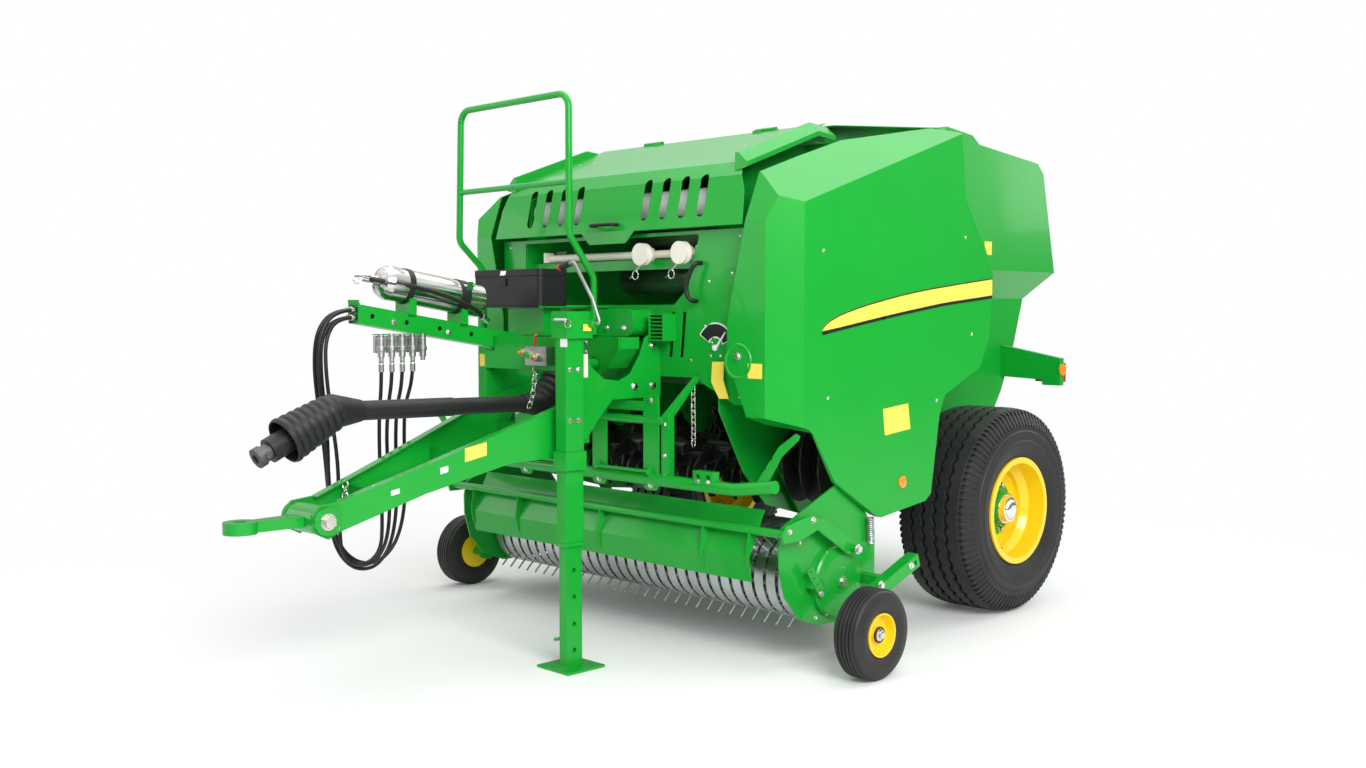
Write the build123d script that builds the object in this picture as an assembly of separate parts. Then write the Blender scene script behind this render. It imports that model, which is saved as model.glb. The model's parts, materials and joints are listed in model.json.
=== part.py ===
from build123d import *
import math
import os

# Round baler with a fixed bale chamber, drawn to be towed.
# Millimetres. While the pieces are drawn, the origin is on the ground under the main axle,
# +X is the machine's left side, -Y its front and +Z up. export() moves everything along Y
# so that the finished part has its origin in the middle of its base.

# ---- driving dimensions ----
# main wheels
wheel_r = 455
tyre_w = 390
rim_seat_r = 218
rim_flange_r = 236
rim_w = 350
flange_t = 10
disc_inset = 40
# gauge wheels of the pick-up
gauge_r = 168
gauge_w = 120
gauge_rim_r = 80
gauge_y = -1336
# axle
axle_box = 100
axle_half = 630
wheel_x = axle_half + 230
spindle_r = 35
running_gap = 0.1
# bale chamber
chamber_half = 585
wall = 8
chamber_y = -150
chamber_z = 1370
bale_r = 625
roller_r = 75
roller_t = 5
skin = 4
# front of the machine
front_y = -1475
front_half = chamber_half + 160
roof_z = 2150
ridge_z = 2085
ridge_y = -930
hood_hinge_y = -920
hood_hinge_z = 2104
hinge_pin_r = 5
knuckle_r = 9
gate_knuckle_r = 12
# hood
hood_half = front_half + 6
hood_low_z = 1661
hood_low_y = -1520
hood_gap = 10
slot_x = (207, 312, 417, 520)
slot_z = 1782
slot_w = 44
slot_len = 165
# side shields
shield_wall = 5
shield_front_y = -1530
pickup_half = 960
shield_in_x = front_half - 55
shield_out_x = pickup_half + 40
shield_rear_x = shield_out_x + 60
shield_hinge_x = front_half + 7
shield_hinge_z = 2000
shield_hinge_y = (-950, -480)
# tailgate
gate_hinge_y = -150
gate_hinge_z = 2146
gate_half = chamber_half + 135
gate_rear_y = 832
split_gap = 10
# drawbar and hitch
eye_y = -3147
eye_z = 622
eye_r = 56
eye_bore_r = 21
eye_t = 40
disc_y = -2889
disc_r = 62
bar_front_x = 100
bar_rear_x = 262
bar_t = 12
bar_flange = 38
bar_flange_t = 6
bar_bend_y = -2830
pin_r = 16
cheek_front_y = -1945
# jack
jack_x = 325
jack_y = -2000
jack_w = 58
jack_d = 88
jack_t = 5
jack_tube_w = 52
jack_tube_d = 86
jack_tube_low_z = 460
jack_low_z = 800
jack_top_z = 1335
foot = 180
foot_t = 10
# rotor and pick-up
rotor_y = -1080
rotor_z = 740
rotor_r = 198
rotor_shaft_r = 40
rotor_half = chamber_half - 57
pivot_r = 60
reel_y = -1230
reel_z = 310
tine_r = 235
tine_t = 5.6
band_r = 165
band_w = 44
band_pitch = 60.6
band_count = 31
plate_t = 8
guard_y = -1570
guard_z = 530
guard_pivot_y = -1190
guard_pivot_z = 436
guard_half = pickup_half + 56
press_r = 16
gauge_x = pickup_half + 262
# power shaft
shaft_z = 980
shaft_r = 35
input_z = 1120
input_end_y = -1705
# front bumper over the pick-up
bumper_y = -1634
bumper_z = 682
bumper_r = 24
bumper_half = guard_half - 11
# hand rail
rail_r = 14
rail_y = -1730
rail_foot_y = -1600
rail_top_z = 2207
rail_left_x = -735
rail_right_x = 8

# the part's origin: the middle of its length
front_end = eye_y - eye_r
rear_end = gate_rear_y
shift_y = -(front_end + rear_end) / 2


# ---- small helpers ----
def plate_x(points, x0, x1, r=0):
    """A flat outline of (y, z) points, as thick as from x0 to x1, with corners of radius r."""
    face = Face(Wire.make_polygon([(x0, y, z) for y, z in points], close=True))
    if r:
        face = face.fillet_2d(r, face.vertices())
    return extrude(face, x1 - x0, dir=(1, 0, 0))


def plate_y(points, y0, y1, r=0):
    """A flat outline of (x, z) points, as thick as from y0 to y1."""
    face = Face(Wire.make_polygon([(x, y0, z) for x, z in points], close=True))
    if r:
        face = face.fillet_2d(r, face.vertices())
    return extrude(face, y1 - y0, dir=(0, 1, 0))


def plate_z(points, z0, z1, r=0):
    """A flat outline of (x, y) points, as thick as from z0 to z1."""
    face = Face(Wire.make_polygon([(x, y, z0) for x, y in points], close=True))
    if r:
        face = face.fillet_2d(r, face.vertices())
    return extrude(face, z1 - z0, dir=(0, 0, 1))


def block(x0, x1, y0, y1, z0, z1):
    return Pos((x0 + x1) / 2, (y0 + y1) / 2, (z0 + z1) / 2) * Box(x1 - x0, y1 - y0, z1 - z0)


def rod(a, b, r):
    """A round bar of radius r from a to b."""
    a = Vector(*a)
    b = Vector(*b)
    return extrude(Plane(origin=a, z_dir=b - a) * Circle(r), (b - a).length)


def rod_x(y, z, x0, x1, r):
    return rod((x0, y, z), (x1, y, z), r)


def turned_x(profile, y, z):
    """A profile of (x, radius) points turned about the line along X through y, z."""
    face = Face(Wire.make_polygon([(x, 0, r) for x, r in profile], close=True))
    return Pos(0, y, z) * revolve(face, Axis.X, 360)


def turned_on(a, b, profile):
    """A profile of (distance, radius) points turned about the line from a towards b."""
    face = Face(Wire.make_polygon([(r, 0, d) for d, r in profile], close=True))
    return Plane(origin=a, z_dir=Vector(*b) - Vector(*a)).location * revolve(face, Axis.Z, 360)


def bent_tube(points, radii, r):
    """A round tube of outer radius r along straight runs joined by arcs."""
    path = FilletPolyline(*points, radius=radii)
    return sweep(Plane(origin=path @ 0, z_dir=path % 0) * Circle(r), path=path)


def mirrored(shape):
    return mirror(shape, about=Plane.YZ)


def export(name, *shapes):
    """Write the shapes, moved to the finished part's origin, as one node."""
    parts = [Pos(0, shift_y, 0) * s for shape in shapes for s in shape.solids()]
    export_step(parts[0] if len(parts) == 1 else Compound(parts), f"parts/{name}.step")


os.makedirs("parts", exist_ok=True)


# ---- wheels ----
def main_tyre(x):
    half = tyre_w / 2
    bead = rim_w / 2 - flange_t - 0.5
    profile = [(-bead, rim_seat_r), (-bead, rim_flange_r + 1), (-half, rim_seat_r + 90), (-half + 6, rim_seat_r + 160),
               (-half + 38, wheel_r - 12), (-half + 70, wheel_r)]
    profile += [(-a, b) for a, b in reversed(profile)]
    return Pos(x, 0, 0) * turned_x(profile, 0, wheel_r)


def main_rim(side):
    half = rim_w / 2
    barrel = [(-half, rim_flange_r), (-half + flange_t, rim_flange_r), (-half + flange_t, rim_seat_r),
              (-half + 70, rim_seat_r), (-half + 90, rim_seat_r - 30), (half - 110, rim_seat_r - 30),
              (half - 80, rim_seat_r), (half - flange_t, rim_seat_r), (half - flange_t, rim_flange_r),
              (half, rim_flange_r), (half, rim_seat_r - 8), (half - 76, rim_seat_r - 12),
              (half - 106, rim_seat_r - 38), (-half + 86, rim_seat_r - 38), (-half + 66, rim_seat_r - 12),
              (-half, rim_seat_r - 8)]
    disc = [(disc_inset - 6, spindle_r + 25), (disc_inset - 6, rim_seat_r - 36),
            (disc_inset + 6, rim_seat_r - 36), (disc_inset + 6, spindle_r + 25)]
    hub = [(-120, spindle_r + running_gap), (-120, spindle_r + 40), (disc_inset - 6, spindle_r + 40),
           (disc_inset + 20, spindle_r + 26), (disc_inset + 90, spindle_r + 20),
           (disc_inset + 90, 0), (disc_inset + 60, 0), (disc_inset + 60, spindle_r + running_gap)]
    wheel = turned_x(barrel, 0, 0) + turned_x(disc, 0, 0) + turned_x(hub, 0, 0)
    wheel = Rot(0, 0, 0 if side > 0 else 180) * wheel
    return Pos(side * wheel_x, 0, wheel_r) * wheel


for side, name in ((1, "left"), (-1, "right")):
    export("tyre_" + name, main_tyre(side * wheel_x))
    export("rim_" + name, main_rim(side))


def gauge_tyre(x):
    half = gauge_w / 2
    profile = [(-half + 14, gauge_rim_r + 1), (-half, gauge_rim_r + 40), (-half + 8, gauge_r - 12),
               (-half + 26, gauge_r)]
    profile += [(-a, b) for a, b in reversed(profile)]
    return Pos(x, gauge_y, 0) * turned_x(profile, 0, gauge_r)


def gauge_rim(side):
    half = gauge_w / 2 - 8
    profile = [(-half, 18.3), (-half, gauge_rim_r), (half, gauge_rim_r), (half, gauge_rim_r - 6),
               (half - 34, gauge_rim_r - 12), (half - 34, 30), (half - 14, 26), (half - 14, 0),
               (half - 26, 0), (half - 26, 18.3)]
    return Pos(side * gauge_x, gauge_y, gauge_r) * Rot(0, 0, 0 if side > 0 else 180) * turned_x(profile, 0, 0)


for side, name in ((1, "left"), (-1, "right")):
    export("gauge_tyre_" + name, gauge_tyre(side * gauge_x))
    export("gauge_rim_" + name, gauge_rim(side))

# ---- axle ----
axle = block(-axle_half, axle_half, -axle_box / 2, axle_box / 2, wheel_r - axle_box / 2, wheel_r + axle_box / 2)
for side in (1, -1):
    axle += rod_x(0, wheel_r, side * axle_half, side * (wheel_x + disc_inset + 50), spindle_r)
export("axle_beam", axle)


# ---- chamber walls ----
def roof_line(y):
    return ridge_z + (y - ridge_y) * (roof_z - ridge_z) / (chamber_y - split_gap / 2 - ridge_y)


split_y = chamber_y - split_gap / 2
axle_top = wheel_r + axle_box / 2
wall_outline = [(front_y + skin, 950), (front_y + skin, 1600), (-1440, 1830), (-1380, 1860), (ridge_y, ridge_z),
                (split_y, roof_line(split_y)), (split_y, 560), (axle_box / 2, 560), (axle_box / 2, axle_top),
                (-axle_box / 2, axle_top), (-700, 470), (-980, 500), (-1200, 560), (-1330, 700)]


def chamber_wall(side):
    x0 = chamber_half
    plate = plate_x(wall_outline, x0, x0 + wall)
    plate += rod_x(rotor_y, rotor_z, x0 + wall, x0 + wall + 32, pivot_r)
    plate -= rod_x(rotor_y, rotor_z, x0 - 1, x0 + wall + 33, rotor_shaft_r + running_gap)
    for y in shield_hinge_y:
        plate += block(x0 + wall, shield_hinge_x + 14, y - 6, y + 6, shield_hinge_z - 14, shield_hinge_z + 14)
        plate += rod((shield_hinge_x, y - 40, shield_hinge_z), (shield_hinge_x, y + 6, shield_hinge_z), 8)
    return plate if side > 0 else mirrored(plate)



# ---- front panel ----
panel_top_z = 1650
panel_low_z = 979
half_edge = [(458, 1075), (676, panel_low_z), (front_half, panel_low_z), (front_half, panel_top_z)]
panel = plate_y([(-x, z) for x, z in reversed(half_edge)] + half_edge, front_y, front_y + skin)
window = [(-590, 1362), (-590, 1635), (489, 1635), (402, 1408), (347, 1362)]
panel -= plate_y(window, front_y - 5, front_y + skin + 5, 12)
for x in (318, 380):
    panel -= plate_y([(x, 1154), (x + 18, 1154), (x + 35, 1333), (x + 17, 1333)], front_y - 5, front_y + skin + 5)
beam_low_z = 1505
beam_top_z = 1547
beam_y = front_y + 37
panel += block(-chamber_half, 482, beam_y, beam_y + 14, beam_low_z, beam_top_z)
panel += block(474, 482, front_y + skin - 1, beam_y + 14, beam_low_z, beam_top_z)
# grille beside the gearbox
grille_x = (272, 356)
grille_z = (1218, 1326)
grille_y = front_y - 70
panel += (block(*grille_x, grille_y, front_y + 1, *grille_z)
          - block(grille_x[0] + 6, grille_x[1] - 6, grille_y - 1, front_y, grille_z[0] + 6, grille_z[1] - 6))
for k in range(6):
    z = grille_z[0] + 14 + 15 * k
    panel += block(grille_x[0] + 5, grille_x[1] - 5, grille_y + 2, grille_y + 14, z, z + 5)
export("front_panel", panel)

# ---- top cover between hood and tailgate ----
cover_front = ridge_y + 20
cover_rear = split_y
cover = plate_x([(cover_front, roof_line(cover_front)), (cover_rear, roof_line(cover_rear)),
                 (cover_rear, roof_line(cover_rear) + skin), (cover_front, roof_line(cover_front) + skin)],
                -front_half + 45, front_half - 45)
for x in (-400, 330):
    cover += rod_x(hood_hinge_y, hood_hinge_z, x, x + 70, knuckle_r)
    cover += block(x, x + 70, hood_hinge_y, cover_front + 15, roof_line(cover_front) + 1, hood_hinge_z)
    pin_x = x - 50 if x > 0 else x
    cover += rod_x(hood_hinge_y, hood_hinge_z, pin_x, pin_x + 120, hinge_pin_r)
gate_knuckles = []
gate_notches = []
for x in (480, -520):
    cover -= rod_x(gate_hinge_y, gate_hinge_z, x - 1, x + 41, gate_knuckle_r + 2)
    gate_knuckles.append(rod_x(gate_hinge_y, gate_hinge_z, x, x + 40, gate_knuckle_r))
    near = x + 42 if x > 0 else x - 42
    cover += rod_x(gate_hinge_y, gate_hinge_z, near, near + 40, gate_knuckle_r)
    gate_notches.append(rod_x(gate_hinge_y, gate_hinge_z, near - 1, near + 41, gate_knuckle_r + 2))
    cover += rod_x(gate_hinge_y, gate_hinge_z, x - 3, x + 43, hinge_pin_r)
export("top_cover", cover)

# ---- chamber rollers ----
roller_ring_r = bale_r + roller_r


def rollers(angles, half):
    out = []
    for angle in angles:
        a = math.radians(angle)
        y = chamber_y + roller_ring_r * math.cos(a)
        z = chamber_z + roller_ring_r * math.sin(a)
        out.append(rod_x(y, z, -half, half, roller_r) - rod_x(y, z, -half - 1, half + 1, roller_r - roller_t))
    return out


front_angles = [100 + 17.5 * k for k in range(5)] + [205, 260]
rear_angles = [78 - 17.5 * k for k in range(10)]
export("chamber_rollers_front", *rollers(front_angles, chamber_half))
export("chamber_rollers_rear", *rollers(rear_angles, chamber_half))

# ---- hood ----
hood_line = [(hood_low_y, hood_low_z), (-1478, 1850), (-1440, 1905), (-1360, 1940), (ridge_y, 2098)]
hood_inner = [(y + 4 * 0.8, z - 4 * 0.6) for y, z in reversed(hood_line)]
hood = plate_x(hood_line + hood_inner, -hood_half, hood_half)
side_edge = [(hood_half, 1600), (hood_half, hood_low_z), (hood_half - 16, 1790), (hood_half - 51, 1870),
             (hood_half - 81, 1905), (hood_half - 81, 2150)]
front_view = [(-x, z) for x, z in side_edge] + list(reversed(side_edge))
hood = hood & plate_y(front_view, -1700, -800)
tab = plate_y([(-165, hood_low_z + 2), (-110, 1612), (110, 1612), (165, hood_low_z + 2)], hood_low_y, hood_low_y + skin)
hood += tab
for x in slot_x:
    for side in (1, -1):
        hood -= Pos(side * x, -1490, slot_z) * Rot(90, 0, 0) * extrude(SlotOverall(slot_len, slot_w, rotation=90), 80, both=True)
# raised rails along both edges of the hood: a folded strip in two straight runs and a front end plate
rail_in = hood_half - 83
rail_out = hood_half - 23
fold = rail_out - 43
rail_path = [(-1468, 1936), (-1042, 2090), (-934, 2080)]


def rail_strip(low):
    return [(rail_in, low), (rail_in, 0), (fold - 2, 0), (rail_out, -38), (rail_out, -58), (rail_out - 4, -58),
            (rail_out - 4, -36), (fold - 4, -4), (rail_in + 4, -4), (rail_in + 4, low)]


for side in (1, -1):
    hood_rail = None
    for (y0, z0), (y1, z1) in zip(rail_path, rail_path[1:]):
        face = Face(Wire.make_polygon([(x, y0, z0 + z) for x, z in rail_strip(-60)], close=True))
        run = extrude(face, math.hypot(y1 - y0, z1 - z0), dir=(0, y1 - y0, z1 - z0))
        hood_rail = run if hood_rail is None else hood_rail + run
    y0, z0 = rail_path[0]
    hood_rail += plate_y([(rail_in, z0 - 70), (rail_in, z0), (fold - 2, z0), (rail_out, z0 - 38), (rail_out, z0 - 58)],
                         y0, y0 + skin)
    hood += hood_rail if side > 0 else mirrored(hood_rail)
for x in (-329, 284):
    hood += rod_x(hood_hinge_y, hood_hinge_z, x, x + 45, knuckle_r)
    hood += block(x, x + 45, ridge_y - 12, hood_hinge_y, 2094, hood_hinge_z - 1)
    hood -= rod_x(hood_hinge_y, hood_hinge_z, x - 1, x + 46, hinge_pin_r + running_gap)
export("hood", hood)


# ---- side shields ----
side_view = [(shield_front_y, 1670), (-1460, 1857), (-1050, 2003), (-600, 2083), (-500, 2069), (-465, 1795),
             (-340, 1615), (-276, 1486), (-294, 1232), (-360, 1102), (-596, 995), (-631, 910), (-682, 596),
             (-717, 570), (-990, 530), (-1030, 545), (-1260, 690), (-1380, 880), (-1400, 895), (shield_front_y, 940)]


def shield_block(grow, back):
    """The closed form of a shield, with every outer face moved out by grow, and its back at x = back."""
    face = Face(Wire.make_polygon([(back, y, z) for y, z in side_view], close=True))
    if grow:
        face = offset(face, amount=grow, kind=Kind.INTERSECTION)
    form = extrude(face, shield_rear_x + 140 - back, dir=(1, 0, 0))
    front = shield_front_y - grow
    plan = [(back, front), (shield_out_x - 125 + 0.4 * grow, front), (shield_out_x - 20 + grow, -1430 - 0.4 * grow),
            (shield_rear_x + grow, -270 + 50), (back, -270 + 50)]
    form = form & plate_z(plan, 400, 2300)
    a = Vector(shield_out_x - 20, -1430, 1735)
    b = Vector(shield_rear_x - 15, -560, 2035)
    c = Vector(shield_out_x - 210, -1460, 1857)
    normal = (b - a).cross(c - a).normalized()
    if normal.Z < 0:
        normal = -normal
    cut = Plane(origin=a + normal * grow, z_dir=normal)
    return split(form, bisect_by=cut, keep=Keep.BOTTOM)


def shield(side):
    back = shield_in_x - 90
    shell = shield_block(0, back) - shield_block(-shield_wall, back - 10)
    low_in = pickup_half + 15
    outside = shield_rear_x + 40
    keep = plate_y([(shield_in_x - 5, 1150), (shield_hinge_x, 1010), (shield_hinge_x + 48, 905), (low_in, 885),
                    (low_in, 500), (outside, 500), (outside, 2150), (shield_in_x + 170, 2150), (shield_in_x + 94, 1860),
                    (shield_in_x + 85, 1670), (shield_in_x - 5, 1300)], -1600, -150)
    shell = shell & keep
    for hinge_y in shield_hinge_y:
        y = hinge_y - 34
        lug = plate_y([(shield_hinge_x - 14, shield_hinge_z - 14), (shield_hinge_x - 14, shield_hinge_z + 14),
                       (shield_hinge_x + 98, 2085), (shield_hinge_x + 208, 2085),
                       (shield_hinge_x + 208, 1940), (shield_hinge_x + 68, 1940)], y, y + 8)
        lug -= rod((shield_hinge_x, y - 10, shield_hinge_z), (shield_hinge_x, y + 20, shield_hinge_z), 8 + running_gap)
        lug = lug & shield_block(-1, back - 10)
        shell += lug
    return shell if side > 0 else mirrored(shell)


export("shield_left", shield(1))
export("shield_right", shield(-1))

# ---- tailgate ----
gate_front = chamber_y + split_gap / 2
gate_side = [(gate_front, 585), (gate_front, 2140), (-130, 2160), (80, 2140), (140, 2103), (660, 2057),
             (716, 2010), (gate_rear_y, 1530), (720, 1400), (640, 1170), (530, 950), (400, 770), (250, 660), (50, 590)]
gate_low_half = chamber_half + wall + 17
gate_view = [(-gate_low_half, 500), (-gate_low_half, 1400), (-gate_half, 1530), (-gate_half, 2300),
             (gate_half, 2300), (gate_half, 1530), (gate_low_half, 1400), (gate_low_half, 500)]


def gate_block(inset):
    side_face = Face(Wire.make_polygon([(-1000, y, z) for y, z in gate_side], close=True))
    view_face = Face(Wire.make_polygon([(x, -400, z) for x, z in gate_view], close=True))
    if inset:
        side_face = offset(side_face, amount=-inset, kind=Kind.INTERSECTION)
        view_face = offset(view_face, amount=-inset, kind=Kind.INTERSECTION)
    return extrude(side_face, 2000, dir=(1, 0, 0)) & extrude(view_face, 1500, dir=(0, 1, 0))


gate = gate_block(0) - gate_block(skin)
gate -= block(-gate_half - 5, gate_half + 5, gate_front - 5, gate_front + skin + 0.01, 500, 2120)
inner_wall = gate_block(skin) & plate_x(gate_side, chamber_half, chamber_half + wall)
gate += inner_wall
gate += mirrored(inner_wall)
for knuckle, notch in zip(gate_knuckles, gate_notches):
    gate = gate - notch + knuckle
gate -= rod_x(gate_hinge_y, gate_hinge_z, -525, 525, hinge_pin_r + running_gap)

# ---- lamps of the tailgate ----
brackets = []
lamps = []
for side in (1, -1):
    x0 = gate_low_half
    lamp_out = gate_half + 210
    arm = plate_y([(x0, 1020), (x0, 1172), (lamp_out, 1115), (lamp_out, 985), (lamp_out - 90, 985), (lamp_out - 100, 1010)],
                  525, 560)
    lamp = block(lamp_out - 150, lamp_out - 5, 560, 590, 1000, 1090)
    reflector = rod_x(543, 1060, lamp_out, lamp_out + 8, 28)
    for piece, group in ((arm, brackets), (lamp, lamps), (reflector, lamps)):
        group.append(piece if side > 0 else mirrored(piece))
export("lamp_brackets", *brackets)
export("rear_lamps", *lamps)

# ---- tailgate cylinders ----
cyl_x = chamber_half + 70
cyl_base = (-750, 1100)
cyl_tip = (60, 1650)
cyl_len = math.hypot(cyl_tip[0] - cyl_base[0], cyl_tip[1] - cyl_base[1])
cyl_dir = ((cyl_tip[0] - cyl_base[0]) / cyl_len, (cyl_tip[1] - cyl_base[1]) / cyl_len)


def along(d):
    return (cyl_base[0] + cyl_dir[0] * d, cyl_base[1] + cyl_dir[1] * d)


def cyl_bar(d0, d1, r):
    a = along(d0)
    b = along(d1)
    return rod((cyl_x, a[0], a[1]), (cyl_x, b[0], b[1]), r)


barrel = rod_x(cyl_base[0], cyl_base[1], cyl_x - 18, cyl_x + 18, 28) + cyl_bar(20, 620, 30)
barrel -= cyl_bar(80, 640, 18 + running_gap)
barrel -= rod_x(cyl_base[0], cyl_base[1], cyl_x - 30, cyl_x + 30, 12 + running_gap)
tip = along(cyl_len)
ram = cyl_bar(100, cyl_len - 20, 18) + rod_x(tip[0], tip[1], cyl_x - 16, cyl_x + 16, 26)
export("cylinder_left", barrel)
export("cylinder_right", mirrored(barrel))
ram += rod_x(tip[0], tip[1], chamber_half + wall + 0.3, cyl_x + 24, 12)
export("ram_left", ram)
export("ram_right", mirrored(ram))
base_pin = rod_x(cyl_base[0], cyl_base[1], chamber_half + wall, cyl_x + 24, 12)
export("side_walls", chamber_wall(1) + base_pin, chamber_wall(-1) + mirrored(base_pin))
export("tailgate_shell", gate)


# ---- drawbar ----
def bar_x(y):
    """Outer face of a drawbar plate at y, in front of the cheeks."""
    share = (y - bar_bend_y) / (cheek_front_y - bar_bend_y)
    return bar_front_x + (bar_rear_x - bar_front_x) * max(0, share)


def drawbar_side():
    nose = plate_x([(-2935, 590), (-2880, 562), (bar_bend_y, 585), (bar_bend_y, 688), (-2910, 680), (-2940, 650)],
                   bar_front_x - bar_t, bar_front_x)
    low = [(bar_bend_y, 585), (-2525, 689), (-2197, 774), (cheek_front_y, 790)]
    high = [(cheek_front_y, 990), (-2524, 789), (bar_bend_y, 688)]
    face = Face(Wire.make_polygon([(bar_x(y), y, z) for y, z in low + high], close=True))
    middle = extrude(face, bar_t, dir=(-1, 0, 0))
    tail = plate_x([(cheek_front_y, 790), (cheek_front_y, 990), (-1700, 1050), (-1600, 1085), (front_y, 1100),
                    (front_y, 992), (-1735, 992), (-1800, 934), (-1870, 850)], bar_rear_x - bar_t, bar_rear_x)
    side = nose + middle + tail
    for line in (low, high):
        for (ya, za), (yb, zb) in zip(line, line[1:]):
            lift = bar_flange_t if line is low else 0
            strip = [(bar_x(ya) - d, ya, za + lift) for d in (1, bar_flange)]
            strip += [(bar_x(yb) - d, yb, zb + lift) for d in (bar_flange, 1)]
            side += extrude(Face(Wire.make_polygon(strip, close=True)), bar_flange_t, dir=(0, 0, -1))
    return side - rod_x(disc_y, 625, bar_front_x - 30, bar_front_x + 30, pin_r + running_gap)


side_bar = drawbar_side()
drawbar = side_bar + mirrored(side_bar)
for y, z in ((-2650, 690), (-2250, 790)):
    half = bar_x(y) - bar_t
    drawbar += block(-half - 2, half + 2, y - 20, y + 20, z - 30, z + 20)
inner = bar_rear_x - bar_t
drawbar += block(-inner - 2, inner + 2, -1900, -1840, 830, 890)
export("drawbar", drawbar)

# ---- hitch eye ----
hitch = rod_x(disc_y, 625, -bar_front_x + bar_t, bar_front_x - bar_t, 50)
hitch += plate_z([(-45, disc_y), (45, disc_y), (26, eye_y), (-26, eye_y)], eye_z - 18, eye_z + 18)
hitch += Pos(0, eye_y, eye_z) * Cylinder(eye_r, eye_t)
hitch -= Pos(0, eye_y, eye_z) * Cylinder(eye_bore_r, eye_t + 40)
for side in (1, -1):
    hitch += rod_x(disc_y, 625, side * (bar_front_x - bar_t), side * (bar_front_x + 1), pin_r)
    hitch += rod_x(disc_y, 625, side * (bar_front_x + running_gap), side * (bar_front_x + 16), disc_r - 14)
export("hitch_eye", hitch)

# ---- front frame: cheeks, cross member and gearbox ----
cheek_low_z = 992
cheek_outline = [(cheek_front_y, 800), (cheek_front_y, 1180), (-1890, 1180), (-1840, 1120), (-1780, 1075),
                 (-1700, 1065), (-1640, 1090), (-1590, 1160), (-1560, 1230), (front_y, 1280), (front_y, cheek_low_z),
                 (-1735, cheek_low_z), (-1800, 930), (-1865, 850)]
cheek_t = 8
frame = block(-bar_rear_x - 4, bar_rear_x + 4, cheek_front_y, cheek_front_y + cheek_t, 1108, 1179)
frame += block(-205, bar_rear_x - 20, cheek_front_y, cheek_front_y + cheek_t, 1170, 1237)
for side in (1, -1):
    cheek = plate_x(cheek_outline, bar_rear_x, bar_rear_x + cheek_t)
    frame += cheek if side > 0 else mirrored(cheek)
export("frame_cheeks", frame)

dome_front_y = rail_foot_y + rail_r
dome_low_z = 1236
gearbox = plate_y([(-170, dome_low_z), (-170, 1345), (229, 1345), (229, dome_low_z)], dome_front_y, front_y, 40)
gearbox += block(-100, 100, dome_front_y + 1, front_y, 1076, dome_low_z + 10)
gearbox += rod((0, input_end_y, input_z), (0, -1580, input_z), 24)
export("gearbox", gearbox)
guard_t = 5
guard_front_y = -1690
guard_rear_y = dome_front_y + 0.7


def bowl_view(inset):
    half = bar_rear_x - inset
    edge = [(110, 1070 + inset), (190 - inset / 2, 1110 + inset / 2), (half - 6, 1186), (half - 6, dome_low_z - 2)]
    return [(-x, z) for x, z in reversed(edge)] + edge


bowl = plate_y(bowl_view(0), guard_front_y, guard_rear_y)
bowl -= plate_y(bowl_view(guard_t)[:-1] + [(bar_rear_x - 11, 1300), (-bar_rear_x + 11, 1300)][:2], guard_front_y - 1,
                guard_rear_y - guard_t)
bowl -= rod((0, guard_front_y - 10, input_z), (0, guard_rear_y + 10, input_z), 30)
for side in (1, -1):
    bowl += block(side * (bar_rear_x - 3) - 3, side * (bar_rear_x - 3) + 3, guard_front_y + 6, guard_rear_y, 1186,
                  dome_low_z - 2)
export("shaft_guard", bowl)

# ---- power shaft ----
front_joint = (0, -2800, 987)
rear_joint = (0, -1870, 974)
front_end_point = (0, -3040, 868)
input_point = (0, input_end_y - 14, input_z)
shaft = rod(front_joint, (0, -2300, 980), shaft_r) + rod((0, -2302, 980), rear_joint, shaft_r - 3)
shaft += rod_x(rear_joint[1], rear_joint[2], -36, 36, 30)
shaft += rod(rear_joint, input_point, 40)
shaft += rod_x(front_joint[1], front_joint[2], -42, 42, 34)
shaft += rod(front_joint, front_end_point, 44)
shaft -= block(-70, 70, input_end_y - running_gap, -1500, 900, 1300)
export("power_shaft", shaft)


def bell(tube_end, joint, mouth, tube_r, mid_r, mouth_r, rings):
    """A hollow ringed cone on the shaft's tube that turns at the joint and opens towards the mouth."""
    first = (Vector(*joint) - Vector(*tube_end)).length
    second = (Vector(*mouth) - Vector(*joint)).length
    t = 4
    overlap = 14
    outer = turned_on(tube_end, joint, [(0, 0), (0, tube_r + t), (first, mid_r), (first + overlap, mid_r),
                                        (first + overlap, 0)])
    ridge = [(-overlap, 0), (-overlap, mid_r)]
    step = second / rings
    for k in range(rings):
        r = mid_r + (mouth_r - mid_r) * k / rings
        ridge += [(step * k + 1, r), (step * (k + 0.45), r + 6), (step * (k + 0.7), r + 6)]
    ridge += [(second, mouth_r), (second, 0)]
    outer += turned_on(joint, mouth, ridge)
    inner = turned_on(tube_end, joint, [(-1, 0), (-1, tube_r), (0, tube_r), (first, mid_r - t),
                                        (first + overlap - 1, mid_r - t), (first + overlap - 1, 0)])
    inner += turned_on(joint, mouth, [(1 - overlap, 0), (1 - overlap, mid_r - t), (0, mid_r - t),
                                      (second + 1, mouth_r - t), (second + 1, 0)])
    return outer - inner


export("front_bell", bell((0, -2690, 985.5), front_joint, (0, -2985, 895), shaft_r + 0.2, 62, 80, 7))
export("rear_bell", bell((0, -1970, 975.4), rear_joint, (0, -1765, 1075.5), shaft_r - 3 + 0.2, 55, 66, 5))

# ---- jack ----
def jack_tube(w, d, z0, z1):
    return block(jack_x - w / 2, jack_x + w / 2, jack_y - d / 2, jack_y + d / 2, z0, z1)


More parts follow.
